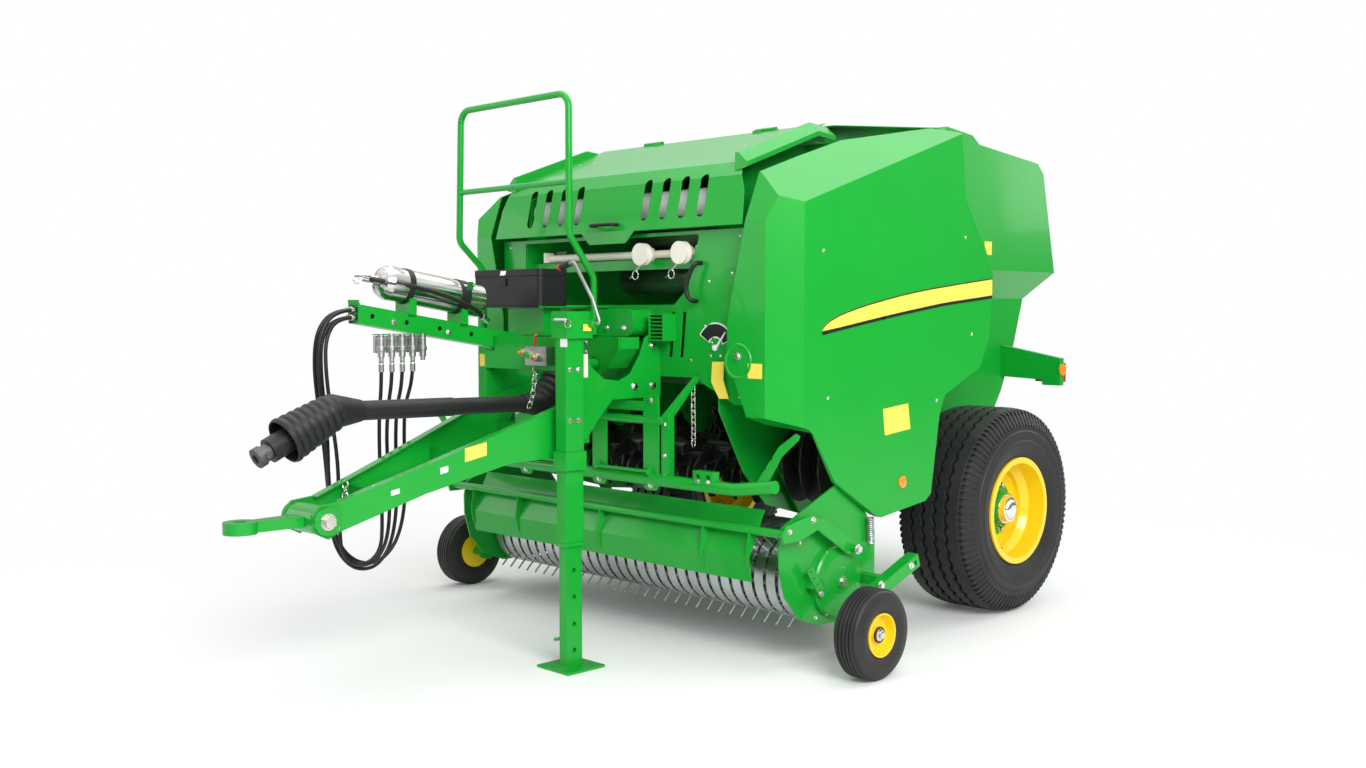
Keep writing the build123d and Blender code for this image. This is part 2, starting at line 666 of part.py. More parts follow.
sleeve = jack_tube(jack_w, jack_d, jack_low_z, jack_top_z) + jack_tube(jack_w + 14, jack_d + 14, jack_low_z - 55, jack_low_z + 15)
sleeve += jack_tube(jack_tube_w, jack_tube_d, jack_tube_low_z, jack_low_z + 15)
sleeve += jack_tube(jack_tube_w + 8, jack_tube_d + 8, jack_tube_low_z, jack_tube_low_z + 14)
bore_w = jack_tube_w - 2 * jack_t
bore_d = jack_tube_d - 2 * jack_t
sleeve -= jack_tube(bore_w, bore_d, jack_tube_low_z - 5, jack_top_z - 30)
sleeve += block(jack_x - 45, jack_x + 45, jack_y - 50, jack_y + 75, jack_top_z - 100, jack_top_z)
sleeve += rod_x(jack_y + 60, 1290, jack_x + 44, jack_x + 75, 16)
sleeve += rod_x(jack_y - 44, 1300, jack_x - 42, jack_x + 42, 9)
sleeve += block(bar_rear_x + cheek_t, jack_x - jack_w / 2 + 1, jack_y + 20, jack_y + 85, 900, 1150)
export("jack_sleeve", sleeve)
leg_gap = 0.3
leg = jack_tube(bore_w - 2 * leg_gap, bore_d - 2 * leg_gap, foot_t, jack_low_z)
for z in (68, 167, 270, 370):
    leg -= rod_x(jack_y, z, jack_x - 60, jack_x + 60, 9)
leg += block(jack_x - foot / 2, jack_x + foot / 2, jack_y - foot / 2, jack_y + foot / 2, 0, foot_t)
leg_side_x = jack_x - bore_w / 2 + 2
leg += bent_tube([(leg_side_x, jack_y - 25, 110), (leg_side_x - 52, jack_y - 25, 96), (leg_side_x - 52, jack_y + 25, 96),
                  (leg_side_x, jack_y + 25, 110)], [14, 14], 6)
export("jack_leg", leg)
crank_y = jack_y + 60
crank = bent_tube([(jack_x + 75, crank_y, 1290), (jack_x + 104, crank_y, 1290), (jack_x + 62, crank_y, 1380),
                   (jack_x - 44, crank_y, 1521), (jack_x - 124, crank_y, 1501)], [10, 24, 20], 7)
crank += rod((jack_x - 60, crank_y, 1517), (jack_x - 124, crank_y, 1501), 11)
export("jack_crank", crank)

# ---- toolbox ----
lid_hinge_y = -1695
lid_hinge_z = 1480
lid_knuckle_r = 6
lid_pin_r = 2.5
shelf = block(-470, -40, -1850, front_y, 1350, 1358)
shelf += block(-320, -90, -1785, -1700, 1240, 1350.5) - block(-316, -94, -1781, -1699, 1235, 1346)
export("toolbox_shelf", shelf)
def box_view(inset):
    return [(-470 + inset, -1850 + inset), (-35 - inset, -1850 + inset), (-35 - inset, -1700 - inset),
            (-470 + inset, -1700 - inset)]


box = plate_z(box_view(0), 1358.3, 1478, 18) - plate_z(box_view(3), 1361.3, 1480, 15)
lid = plate_z(box_view(-2), 1478.3, 1506, 20) - plate_z(box_view(3), 1478, 1503, 15)
lid -= block(-500, 0, -1700, -1690, 1470, 1510)
for x in (-430, -142):
    box += rod_x(lid_hinge_y, lid_hinge_z, x, x + 30, lid_knuckle_r)
    lid -= rod_x(lid_hinge_y, lid_hinge_z, x - 1, x + 31, lid_knuckle_r + 1)
    box -= rod_x(lid_hinge_y, lid_hinge_z, x + 31, x + 63, lid_knuckle_r + 1)
    lid += rod_x(lid_hinge_y, lid_hinge_z, x + 32, x + 62, lid_knuckle_r)
    lid -= rod_x(lid_hinge_y, lid_hinge_z, x + 31, x + 63, lid_pin_r + running_gap)
    box += rod_x(lid_hinge_y, lid_hinge_z, x + 10, x + 64, lid_pin_r)
export("toolbox", box)
export("toolbox_lid", lid)

# ---- hand rail ----
rail = bent_tube([(rail_left_x, rail_foot_y, 1250), (rail_left_x, rail_foot_y, 1520), (rail_left_x, rail_y, 1640),
                  (rail_left_x + 20, rail_y, rail_top_z), (rail_right_x, rail_y, rail_top_z),
                  (rail_right_x, rail_y, 1645), (rail_right_x, rail_foot_y, 1475), (rail_right_x, rail_foot_y, 1240)],
                 [60] * 6, rail_r)
rail += rod((rail_left_x + 8, rail_y, 1855), (rail_right_x, rail_y, 1855), rail_r - 2)
rail += block(rail_left_x - 20, rail_left_x + 135, rail_foot_y - 15, rail_foot_y + 15, 1242, 1250.5)
rail += block(rail_left_x + 95, rail_left_x + 135, rail_foot_y - 15, front_y, 1242, 1250.5)
export("hand_rail", rail)

# ---- extinguisher and hose holder ----
holder_x = -250
mouth_y = -2560
holder_rear_y = -1790
holder_slope = 122 / 770


def holder_low(y):
    return 1290 - (y - mouth_y) * holder_slope


holder_h = 72
holder_t = 4


def holder_side(inset, over):
    return [(mouth_y - over, holder_low(mouth_y) + inset), (mouth_y - over, holder_low(mouth_y) + holder_h - inset),
            (holder_rear_y - 10 * bool(inset), holder_low(holder_rear_y) + holder_h - inset),
            (holder_rear_y - 10 * bool(inset), holder_low(holder_rear_y) + inset)]


holder = plate_x(holder_side(0, 0), holder_x - 35, holder_x + 35)
holder -= plate_x(holder_side(holder_t, 5), holder_x - 35 + holder_t, holder_x + 35 - holder_t)
hose_plate_y = mouth_y + 12
holder += block(holder_x - 32, holder_x + 32, hose_plate_y, hose_plate_y + holder_t, holder_low(mouth_y) + 1,
                holder_low(mouth_y) + holder_h - 4)
for k in range(5):
    y = mouth_y + 60 + 150 * k
    z = holder_low(y) + holder_h / 2
    holder -= rod_x(y, z, holder_x + 20, holder_x + 40, 9)
holder += plate_x([(mouth_y, holder_low(mouth_y) + holder_h - holder_t), (mouth_y - 2, holder_low(mouth_y) + holder_h + 16),
                   (mouth_y + 2, holder_low(mouth_y) + holder_h + 16), (mouth_y + 8, holder_low(mouth_y) + holder_h - holder_t)],
                  holder_x - 35, holder_x + 35)
holder += block(holder_x - 35, -bar_rear_x - cheek_t, -1900, -1800, 1110, 1190)
bottle_front = (holder_x, -2460, 1450)
bottle_rear = (holder_x, -1990, 1376)
bottle_len = (Vector(*bottle_rear) - Vector(*bottle_front)).length
bottle_r = 66
bottle = turned_on(bottle_front, bottle_rear, [(-44, 0), (-44, 12), (-20, 12), (-20, 20), (-3, 20), (2, 34), (18, 54),
                                               (44, bottle_r), (bottle_len - 8, bottle_r), (bottle_len, bottle_r - 8),
                                               (bottle_len, 0)])
for y in (-2330, -2090):
    top = holder_low(y) + holder_h
    holder += block(holder_x - 50, holder_x + 50, y - 15, y + 15, top - 4, top + 62)
holder -= turned_on(bottle_front, bottle_rear, [(0, 0), (0, bottle_r), (bottle_len, bottle_r), (bottle_len, 0)])
export("hose_holder", holder)
export("extinguisher", bottle)
coupler_x = holder_x + 58
coupler_y = -2480
coupler_pitch = 46
coupler_low_z = 1150
coupler = turned_on((0, 0, 0), (0, 0, 1), [(0, 0), (0, 9), (14, 9), (14, 13), (36, 13), (38, 16), (52, 16), (54, 13),
                                           (84, 13), (86, 10), (100, 10), (100, 0)])
coupler_row = block(holder_x + 35, coupler_x - 11, coupler_y - 20, coupler_y + 4.5 * coupler_pitch, 1180, 1245)
for k in range(5):
    coupler_row += Pos(coupler_x, coupler_y + coupler_pitch * k, coupler_low_z) * coupler
valve_block = block(44, 172, cheek_front_y - 42, cheek_front_y, 1128, 1200)
for x, z, knob_r in ((66, 1178, 15), (104, 1168, 13), (140, 1160, 16)):
    valve_block += rod((x, cheek_front_y - 41, z), (x, cheek_front_y - 74, z), knob_r)
export("couplers", coupler_row, valve_block)

# ---- hoses from the holder down and up to the couplers ----
hose_d = 14
hose_routes = {
    "hose_a": [(-238, -2548, 1313), (-238, -2632, 1313), (-228, -2690, 1240), (-216, -2698, 1118), (-212, -2680, 955),
               (-212, -2656, 790), (-212, -2654, 650), (-212, -2652, 535), (-212, -2646, 445), (-212, -2597, 396),
               (-212, -2527, 394), (-211, -2478, 443), (-210, -2472, 535), (-210, -2476, 665), (-209, -2482, 810),
               (-201, -2486, 950), (-192, -2480, 1062), (-192, -2480, 1150)],
    "hose_b": [(-238, -2548, 1341), (-238, -2636, 1341), (-236, -2706, 1264), (-235, -2720, 1134), (-234, -2702, 970),
               (-234, -2686, 812), (-234, -2678, 670), (-234, -2668, 548), (-234, -2636, 448), (-234, -2570, 382),
               (-234, -2490, 388), (-233, -2440, 456), (-232, -2424, 570), (-230, -2430, 715), (-226, -2440, 860),
               (-210, -2440, 985), (-192, -2434, 1078), (-192, -2434, 1150)],
    "hose_c": [(-262, -2548, 1313), (-262, -2632, 1313), (-260, -2690, 1238), (-257, -2694, 1106), (-256, -2677, 947),
               (-256, -2668, 790), (-256, -2674, 648), (-256, -2664, 528), (-256, -2628, 428), (-256, -2560, 366),
               (-256, -2474, 364), (-255, -2412, 430), (-254, -2384, 540), (-252, -2378, 680), (-248, -2386, 830),
               (-226, -2394, 965), (-192, -2388, 1072), (-192, -2388, 1150)],
    "hose_d": [(-262, -2548, 1341), (-262, -2636, 1341), (-268, -2703, 1267), (-276, -2712, 1138), (-278, -2694, 980),
               (-278, -2672, 826), (-278, -2660, 682), (-278, -2648, 556), (-278, -2610, 452), (-278, -2540, 386),
               (-278, -2446, 376), (-277, -2372, 436), (-275, -2334, 546), (-272, -2326, 690), (-266, -2336, 842),
               (-240, -2348, 975), (-192, -2342, 1078), (-192, -2342, 1150)],
}


def corner_radii(points):
    vectors = [Vector(*b) - Vector(*a) for a, b in zip(points, points[1:])]
    radii = []
    for a, b in zip(vectors, vectors[1:]):
        radii.append(0.45 * min(a.length, b.length) / math.tan(math.radians(a.get_angle(b) / 2)))
    return radii


for name, points in hose_routes.items():
    radii = corner_radii(points)
    path = FilletPolyline(*points, radius=radii)
    hose = sweep(Plane(origin=path @ 0, z_dir=path % 0) * Circle(hose_d / 2), path=path)
    share = hose.volume / (math.pi * hose_d ** 2 / 4 * path.length)
    print(name, "length", round(path.length), "tightest", round(min(radii)), "volume share", round(share, 4))
    print("  radii", [round(x) for x in radii])
    export(name, hose)

# ---- bumper over the pick-up ----
bumper = bent_tube([(-bumper_half, bumper_y + 16, bumper_z + 24), (-820, bumper_y, bumper_z),
                    (820, bumper_y, bumper_z), (bumper_half, bumper_y + 16, bumper_z + 24)], [150, 150], bumper_r)
upright_x = (86, 386)
upright_w = 84
upright_t = 8
tooth_count = 20
bar_in = upright_x[0] + upright_w / 2 - 2
bar_out = upright_x[1] - upright_w / 2 + 2
tooth = (bar_out - bar_in) / tooth_count
tooth_edge = [(bar_in + tooth * (k + share), 946 + 9 * (share == 0.5)) for k in range(tooth_count)
              for share in (0, 0.5)] + [(bar_out, 946)]
post_x = (436, 474)
for side in (1, -1):
    stand = block(626, 730, bumper_y - 20, bumper_y + 16, bumper_z, 739)
    for x in (652, 704):
        stand -= rod((x, bumper_y - 30, 716), (x, bumper_y + 30, 716), 11)
    for x in upright_x:
        upright = [(x - upright_w / 2, 640), (x - upright_w / 2, 1013), (x + upright_w / 2, 1013), (x + upright_w / 2, 640)]
        stand += plate_y(upright, bumper_y - upright_t, bumper_y, 24)
    stand += plate_y(tooth_edge + [(bar_out, 986), (bar_in, 986)], bumper_y - upright_t, bumper_y)
    stand += rod_x(bumper_y + 8, 912, upright_x[0], post_x[0] + 8, 17)
    stand += rod_x(bumper_y - 26, 716, upright_x[0], upright_x[1], 6)
    for x in upright_x:
        stand += plate_x([(bumper_y - 34, 704), (bumper_y - 22, 730), (bumper_y, 740), (bumper_y, 690)], x - 4, x + 4)
    # folded post from the bumper up and out to the front panel
    for x0, x1, y0, y1 in ((*post_x, bumper_y, bumper_y + 5), (post_x[1] - 5, post_x[1], bumper_y, bumper_y + 34)):
        stand += block(x0, x1, y0, y1, bumper_z, 930)
        foot_face = Face(Wire.make_polygon([(x0, y0, 930), (x1, y0, 930), (x1, y1, 930), (x0, y1, 930)], close=True))
        run_y = front_y - y1
        stand += extrude(foot_face, math.sqrt(run_y ** 2 + 150 ** 2 + 24 ** 2), dir=(24, run_y, 150))
    stand += plate_y([(900, bumper_z + 14), (955, bumper_z + 14), (1030, 815), (1108, 880), (1116, 897), (1098, 904),
                      (1020, 852)], bumper_y + 14, bumper_y + 20)
    for x, z in ((955, 770), (985, 808)):
        stand -= rod((x, bumper_y, z), (x, bumper_y + 30, z), 6)
    bumper += stand if side > 0 else mirrored(stand)
export("feed_bumper", bumper)

# ---- twine and net unit ----
twine_y = -1440
twine_z = 1566
twine = rod_x(twine_y, twine_z, -470, 470, 16)
for x in (-470, 462):
    twine += block(x, x + 8, front_y + skin + 0.01, twine_y + 20, twine_z - 17, twine_z + 26)
for x in (177, 400):
    twine += rod((x, twine_y - 34, twine_z), (x, twine_y, twine_z), 30)
    twine += turned_on((x, twine_y - 64, twine_z), (x, twine_y, twine_z), [(0, 0), (0, 45), (8, 45), (13, 36), (19, 36),
                                                                           (24, 45), (32, 45), (32, 0)])
export("twine_unit", twine)

# ---- feed rotor ----
export("rotor_shaft", rod_x(rotor_y, rotor_z, -pickup_half + 30, pickup_half - 30, rotor_shaft_r))
hub_r = 75
star_count = 17
star_pitch = 2 * (rotor_half - 10) / (star_count - 1)
# one arm of a star: (radius, leading angle, trailing angle)
arm_rows = ((hub_r - 3, -24, 24), (115, -10, 20), (155, 2, 21), (rotor_r, 14, 24))


def star_view(turn):
    points = []
    for j in range(4):
        lead = [(radius, first) for radius, first, last in arm_rows]
        trail = [(radius, last) for radius, first, last in reversed(arm_rows)]
        for radius, angle in lead + trail:
            a = math.radians(angle + 90 * j + turn)
            points.append((rotor_y + radius * math.cos(a), rotor_z + radius * math.sin(a)))
    return points


rotor = rod_x(rotor_y, rotor_z, -rotor_half, rotor_half, hub_r)
for k in range(star_count):
    x = star_pitch * (k - (star_count - 1) / 2)
    rotor += plate_x(star_view(22.5 * k), x - 4, x + 4)
rotor -= rod_x(rotor_y, rotor_z, -rotor_half - 1, rotor_half + 1, rotor_shaft_r + running_gap)
export("feed_rotor", rotor)
augers = []
for side in (1, -1):
    auger = rod_x(rotor_y, rotor_z, side * 655, side * 885, 60)
    for k in range(3):
        disc = Rot(0, 0, side * 12) * Rot(0, 90, 0) * Cylinder(rotor_r - 30, 6)
        auger += Pos(side * (680 + 90 * k), rotor_y, rotor_z) * disc
    auger -= rod_x(rotor_y, rotor_z, side * 600, side * 940, rotor_shaft_r + running_gap)
    augers.append(auger)
export("side_augers", *augers)

# ---- pick-up ----
rear_plate_y = reel_y + tine_r + 10
rear_face_y = rear_plate_y + plate_t
end_plate = [(-1538, 546), (-1413, 600), (-1205, 684), (-1065, 590), (rear_face_y, 470), (rear_face_y, 162),
             (-1180, 146), (-1330, 152), (-1440, 196), (-1520, 286), (-1550, 400), (-1552, 480)]
cover_x = pickup_half + plate_t
# half section of the round cover over the reel's drive: (distance out, radius)
cover_rows = [(0, 0), (0, 140), (16, 140), (24, 132), (30, 100), (30, 58), (33, 52), (33, 26), (40, 24), (40, 0)]
arm_outline = [(-1000, 482), (-1150, 700), (-1150, 780), (rotor_y, 825), (-1010, 780), (-950, 560), (-950, 250),
               (rear_plate_y + plate_t, 250), (rear_plate_y + plate_t, 482)]


def pickup_side(side):
    plate = plate_x(end_plate, pickup_half, pickup_half + plate_t)
    plate += turned_x([(cover_x + d, radius) for d, radius in cover_rows], reel_y, reel_z)
    plate += block(cover_x - 1, cover_x + 34, -1405, -1372, 305, 352)
    adjuster = plate_x([(-1440, 377), (-1408, 396), (-1336, 296), (-1366, 272)], cover_x + 32, cover_x + 38)
    for k in range(4):
        for j in (0, 1):
            y = -1419 + 20 * k - 18 * j
            z = 374 - 27 * k - 12 * j
            adjuster -= rod_x(y, z, cover_x + 30, cover_x + 40, 5)
    plate += adjuster
    plate += rod_x(guard_pivot_y, guard_pivot_z, pickup_half + plate_t, pickup_half + 90, 14)
    plate -= rod_x(reel_y, reel_z, pickup_half - 1, pickup_half + 30, 26 + running_gap)
    arm = plate_x(arm_outline, chamber_half + wall + 12, chamber_half + wall + 24)
    arm -= rod_x(rotor_y, rotor_z, chamber_half, chamber_half + 100, pivot_r + running_gap)
    return (plate, arm) if side > 0 else (mirrored(plate), mirrored(arm))


pickup = block(-pickup_half, pickup_half, rear_plate_y, rear_plate_y + plate_t, reel_z - band_r, reel_z + band_r)
export("pickup_frame", pickup)
left_end, left_arm = pickup_side(1)
right_end, right_arm = pickup_side(-1)
export("pickup_ends", left_end, right_end)
export("pickup_arms", left_arm, right_arm)

band = Pos(0, reel_y, reel_z) * (Rot(0, 90, 0) * (Cylinder(band_r, band_w) - Cylinder(band_r - 3, band_w + 2)))
band = band & block(-100, 100, reel_y - 200, reel_y, 0, 600)
band += block(-band_w / 2, band_w / 2, reel_y, rear_plate_y, reel_z - band_r, reel_z - band_r + 3)
band += block(-band_w / 2, band_w / 2, reel_y, rear_plate_y, reel_z + band_r - 3, reel_z + band_r)
bands = [Pos(band_pitch * (k - (band_count - 1) / 2), 0, 0) * band for k in range(band_count)]
export("stripper_bands", *bands)

reel = rod_x(reel_y, reel_z, -pickup_half - 20, pickup_half + 20, 26)
for x in (-pickup_half + 20, 0, pickup_half - 20):
    reel += rod_x(reel_y, reel_z, x - 4, x + 4, 118)
for k in range(4):
    a = math.radians(45 + 90 * k)
    c = math.cos(a)
    s = math.sin(a)
    reel += rod_x(reel_y + 105 * c, reel_z + 105 * s, -pickup_half + 10, pickup_half - 10, 12)
    for j in range(band_count - 1):
        x = band_pitch * (j - (band_count - 2) / 2)
        tine = Rot(45 + 90 * k, 0, 0) * Pos(0, (105 + tine_r) / 2, 0) * Box(tine_t, tine_r - 105, tine_t)
        reel += Pos(x, reel_y, reel_z) * tine
export("pickup_reel", reel)

# ---- gauge wheel arms ----
arms = []
for side in (1, -1):
    beam = [(-1250, 205), (-1235, 257), (-885, 386), (-868, 336)]
    arm = plate_x(beam, pickup_half + 100, pickup_half + 150)
    arm -= rod_x(-900, 352, pickup_half + 95, pickup_half + 155, 10)
    arm += plate_x([(-1205, 216), (-1225, 262), (gauge_y - 30, gauge_r + 32), (gauge_y - 34, gauge_r - 20),
                    (gauge_y + 16, gauge_r - 32)], pickup_half + 115, pickup_half + 135)
    arm += rod_x(gauge_y, gauge_r, pickup_half + 135, gauge_x + 10, 18)
    arm += block(cover_x, pickup_half + 101, -1080, -1034, 280, 316)
    arms.append(arm if side > 0 else mirrored(arm))
export("gauge_arms", *arms)

# ---- wind guard ----
guard = rod_x(guard_y, guard_z, -guard_half, guard_half, press_r)
sheet_half = pickup_half - 110
guard += plate_x([(-1500, 597), (-1588, 428), (-1572, 335), (-1568, 335), (-1584, 427), (-1497, 595)],
                 -sheet_half, sheet_half)
for x in (-sheet_half + 4, -520, 20, 610, sheet_half - 4):
    guard += plate_x([(guard_y - 14, guard_z), (-1534, 536), (-1586, 428), (-1570, 345), (-1584, 372), (-1599, 430)],
                     x - 3, x + 3)
for side in (1, -1):
    link = plate_x([(guard_pivot_y - 26, guard_pivot_z - 22), (guard_pivot_y + 22, guard_pivot_z - 14),
                    (guard_pivot_y + 18, guard_pivot_z + 24), (-1330, 548), (-1440, 588), (guard_y - 6, guard_z + 34),
                    (guard_y - 32, guard_z + 4), (guard_y - 22, guard_z - 30), (-1500, 500), (-1400, 530)],
                   guard_half, guard_half + 8)
    link -= rod_x(guard_pivot_y, guard_pivot_z, guard_half - 1, guard_half + 9, 14 + running_gap)
    guard += link if side > 0 else mirrored(link)
export("wind_guard", guard)
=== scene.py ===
import bmesh
import json
import math
import bpy
from mathutils import Matrix, Vector


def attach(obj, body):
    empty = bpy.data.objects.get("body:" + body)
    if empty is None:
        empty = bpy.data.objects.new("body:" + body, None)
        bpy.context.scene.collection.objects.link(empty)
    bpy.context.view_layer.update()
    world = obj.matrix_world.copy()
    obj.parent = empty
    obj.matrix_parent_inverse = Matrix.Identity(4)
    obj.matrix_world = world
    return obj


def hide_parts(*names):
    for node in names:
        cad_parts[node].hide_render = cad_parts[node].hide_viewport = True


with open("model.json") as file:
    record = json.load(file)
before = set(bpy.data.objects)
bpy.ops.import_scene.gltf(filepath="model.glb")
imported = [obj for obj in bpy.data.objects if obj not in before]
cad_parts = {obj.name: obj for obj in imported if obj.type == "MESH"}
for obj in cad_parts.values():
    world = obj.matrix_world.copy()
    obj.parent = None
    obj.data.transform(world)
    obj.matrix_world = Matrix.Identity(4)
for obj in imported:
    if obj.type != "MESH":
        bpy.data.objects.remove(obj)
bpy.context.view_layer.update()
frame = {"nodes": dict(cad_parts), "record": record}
print("frame loaded")

scene = bpy.context.scene
scene.view_settings.view_transform = "Standard"

# Camera, floor and light, in metres, degrees and watts.
camera = {"place": (4.1034, -4.0231, 1.3294), "pitch": -3.058, "yaw": 44.79, "lens": 35.07, "sensor": 36}
stage = {"radius": 14.0, "sides": 96, "clear": 4.2, "fade": 3.4, "tone": (0.90, 0.90, 0.895, 1)}
lamps = {
    "key": {"place": (6.8, -3.6, 4.6), "aim": (0, 0, 1.0), "size": (4.5, 3.5), "watts": 640},
    "top": {"place": (-0.5, 0.5, 6.5), "aim": (0, 0, 1.0), "size": (7.0, 7.0), "watts": 210},
    "fill": {"place": (-6.0, -5.5, 2.8), "aim": (0, 0, 0.9), "size": (4.0, 3.0), "watts": 75},
    "back": {"place": (1.0, 7.0, 3.5), "aim": (0, 0, 1.0), "size": (6.0, 3.0), "watts": 160},
}
sky = {"level": 0.52, "low": -0.1, "high": 0.85, "dark": 0.10, "bright": 1.6}


def put(tree, kind, props=None, ins=None):
    # one node, with its properties and its inputs: a value, or a socket to link from
    node = tree.nodes.new(kind)
    for name, value in (props or {}).items():
        setattr(node, name, value)
    for name, value in (ins or {}).items():
        if isinstance(value, bpy.types.NodeSocket):
            tree.links.new(value, node.inputs[name])
        else:
            node.inputs[name].default_value = value
    return node


def calc(tree, operation, *values):
    # the result of a Math node
    return put(tree, "ShaderNodeMath", {"operation": operation}, dict(enumerate(values))).outputs[0]


def remap(tree, value, low, high, toLow=0.0, toHigh=1.0, kind="LINEAR"):
    # the result of a Map Range node
    return put(tree, "ShaderNodeMapRange", {"interpolation_type": kind},
               {"Value": value, "From Min": low, "From Max": high,
                "To Min": toLow, "To Max": toHigh}).outputs[0]


def objectPlace(tree):
    return put(tree, "ShaderNodeTexCoord").outputs["Object"]


def addCamera():
    data = bpy.data.cameras.new("camera")
    data.lens = camera["lens"]
    data.sensor_width = camera["sensor"]
    obj = bpy.data.objects.new("camera", data)
    obj.location = camera["place"]
    obj.rotation_euler = (math.radians(90 + camera["pitch"]), 0, math.radians(camera["yaw"]))
    scene.collection.objects.link(obj)
    scene.camera = obj


def addLamps():
    for name, lamp in lamps.items():
        data = bpy.data.lights.new(name, "AREA")
        data.shape = "RECTANGLE"
        data.size, data.size_y = lamp["size"]
        data.energy = lamp["watts"]
        obj = bpy.data.objects.new(name, data)
        obj.location = lamp["place"]
        obj.rotation_euler = (Vector(lamp["aim"]) - obj.location).to_track_quat("-Z", "Y").to_euler()
        scene.collection.objects.link(obj)


def addWorld():
    # white behind the baler; what shines reflects a room that is dark at eye level and bright overhead
    world = bpy.data.worlds.new("studio")
    scene.world = world
    world.use_nodes = True
    tree = world.node_tree
    tree.nodes.clear()
    path = put(tree, "ShaderNodeLightPath").outputs
    seen = calc(tree, "MAXIMUM", path["Is Camera Ray"], path["Is Transmission Ray"])
    place = put(tree, "ShaderNodeTexCoord")
    way = put(tree, "ShaderNodeSeparateXYZ", None, {0: place.outputs["Generated"]})
    room = remap(tree, way.outputs["Z"], sky["low"], sky["high"], sky["dark"], sky["bright"], "SMOOTHSTEP")
    shine = calc(tree, "SUBTRACT", room, sky["level"])
    level = calc(tree, "MULTIPLY_ADD", path["Is Glossy Ray"], shine, sky["level"])
    rest = calc(tree, "SUBTRACT", 1.0, level)
    level = calc(tree, "MULTIPLY_ADD", seen, rest, level)
    glow = put(tree, "ShaderNodeBackground", None, {"Color": (1, 1, 1, 1), "Strength": level})
    put(tree, "ShaderNodeOutputWorld", None, {"Surface": glow.outputs[0]})


def addFloor():
    # matt under the baler, and pure white to the camera farther out
    bpy.ops.mesh.primitive_circle_add(vertices=stage["sides"], radius=stage["radius"], fill_type="NGON")
    floor = bpy.context.object
    floor.name = "studio_floor"
    material = bpy.data.materials.new("studio_floor")
    material.use_nodes = True
    tree = material.node_tree
    tree.nodes.clear()
    reach = put(tree, "ShaderNodeVectorMath", {"operation": "LENGTH"},
                {0: objectPlace(tree)}).outputs["Value"]
    fade = remap(tree, reach, stage["clear"] - stage["fade"], stage["clear"], kind="SMOOTHSTEP")
    matt = put(tree, "ShaderNodeBsdfDiffuse", None, {"Color": stage["tone"]})
    white = put(tree, "ShaderNodeEmission", None, {"Color": (1, 1, 1, 1), "Strength": 1.0})
    path = put(tree, "ShaderNodeLightPath")
    share = calc(tree, "MULTIPLY", fade, path.outputs["Is Camera Ray"])
    mix = put(tree, "ShaderNodeMixShader", None, {0: share, 1: matt.outputs[0], 2: white.outputs[0]})
    put(tree, "ShaderNodeOutputMaterial", None, {"Surface": mix.outputs[0]})
    floor.data.materials.append(material)


addCamera()
addLamps()
addWorld()
addFloor()
print("stage set")

# Shader groups that the finishes share, with the values that each is tuned by.
edgeWear = {"flat": 0.995, "bent": 0.86, "none": 0.52, "full": 0.66, "samples": 4,
            "noise": {"Scale": 38.0, "Detail": 5.0, "Roughness": 0.7}}
dustFilm = {"steep": 0.2, "level": 1.0, "above": 0.9, "none": 0.38, "full": 0.72,
            "noise": {"Scale": 6.5, "Detail": 7.0, "Roughness": 0.62}, "tone": (0.34, 0.31, 0.25, 1)}
skinGrain = {"fine": {"Detail": 3.0, "Roughness": 0.55}, "broad": {"Scale": 3.2, "Detail": 4.0}}


def newGroup(name, inputs, outputs):
    group = bpy.data.node_groups.new(name, "ShaderNodeTree")
    for label, kind, value in inputs:
        socket = group.interface.new_socket(label, in_out="INPUT", socket_type="NodeSocket" + kind)
        socket.default_value = value
    for label, kind in outputs:
        group.interface.new_socket(label, in_out="OUTPUT", socket_type="NodeSocket" + kind)
    return group, put(group, "NodeGroupInput").outputs, put(group, "NodeGroupOutput").inputs


def buildSoftEdge():
    # rounds the look of sharp edges, and gives a broken mask along them
    group, given, result = newGroup("soft edge", [("Radius", "Float", 0.003), ("Wear", "Float", 0.5)],
                                    [("Normal", "Vector"), ("Edge", "Float")])
    bevel = put(group, "ShaderNodeBevel", {"samples": edgeWear["samples"]}, {"Radius": given["Radius"]})
    flat = put(group, "ShaderNodeNewGeometry")
    turn = put(group, "ShaderNodeVectorMath", {"operation": "DOT_PRODUCT"},
               {0: bevel.outputs[0], 1: flat.outputs["Normal"]})
    noise = put(group, "ShaderNodeTexNoise", None, {"Vector": objectPlace(group), **edgeWear["noise"]})
    bent = remap(group, turn.outputs["Value"], edgeWear["flat"], edgeWear["bent"])
    chips = remap(group, noise.outputs["Fac"], edgeWear["none"], edgeWear["full"])
    mask = calc(group, "MULTIPLY", calc(group, "MULTIPLY", bent, chips), given["Wear"])
    group.links.new(bevel.outputs[0], result["Normal"])
    group.links.new(mask, result["Edge"])
    return group


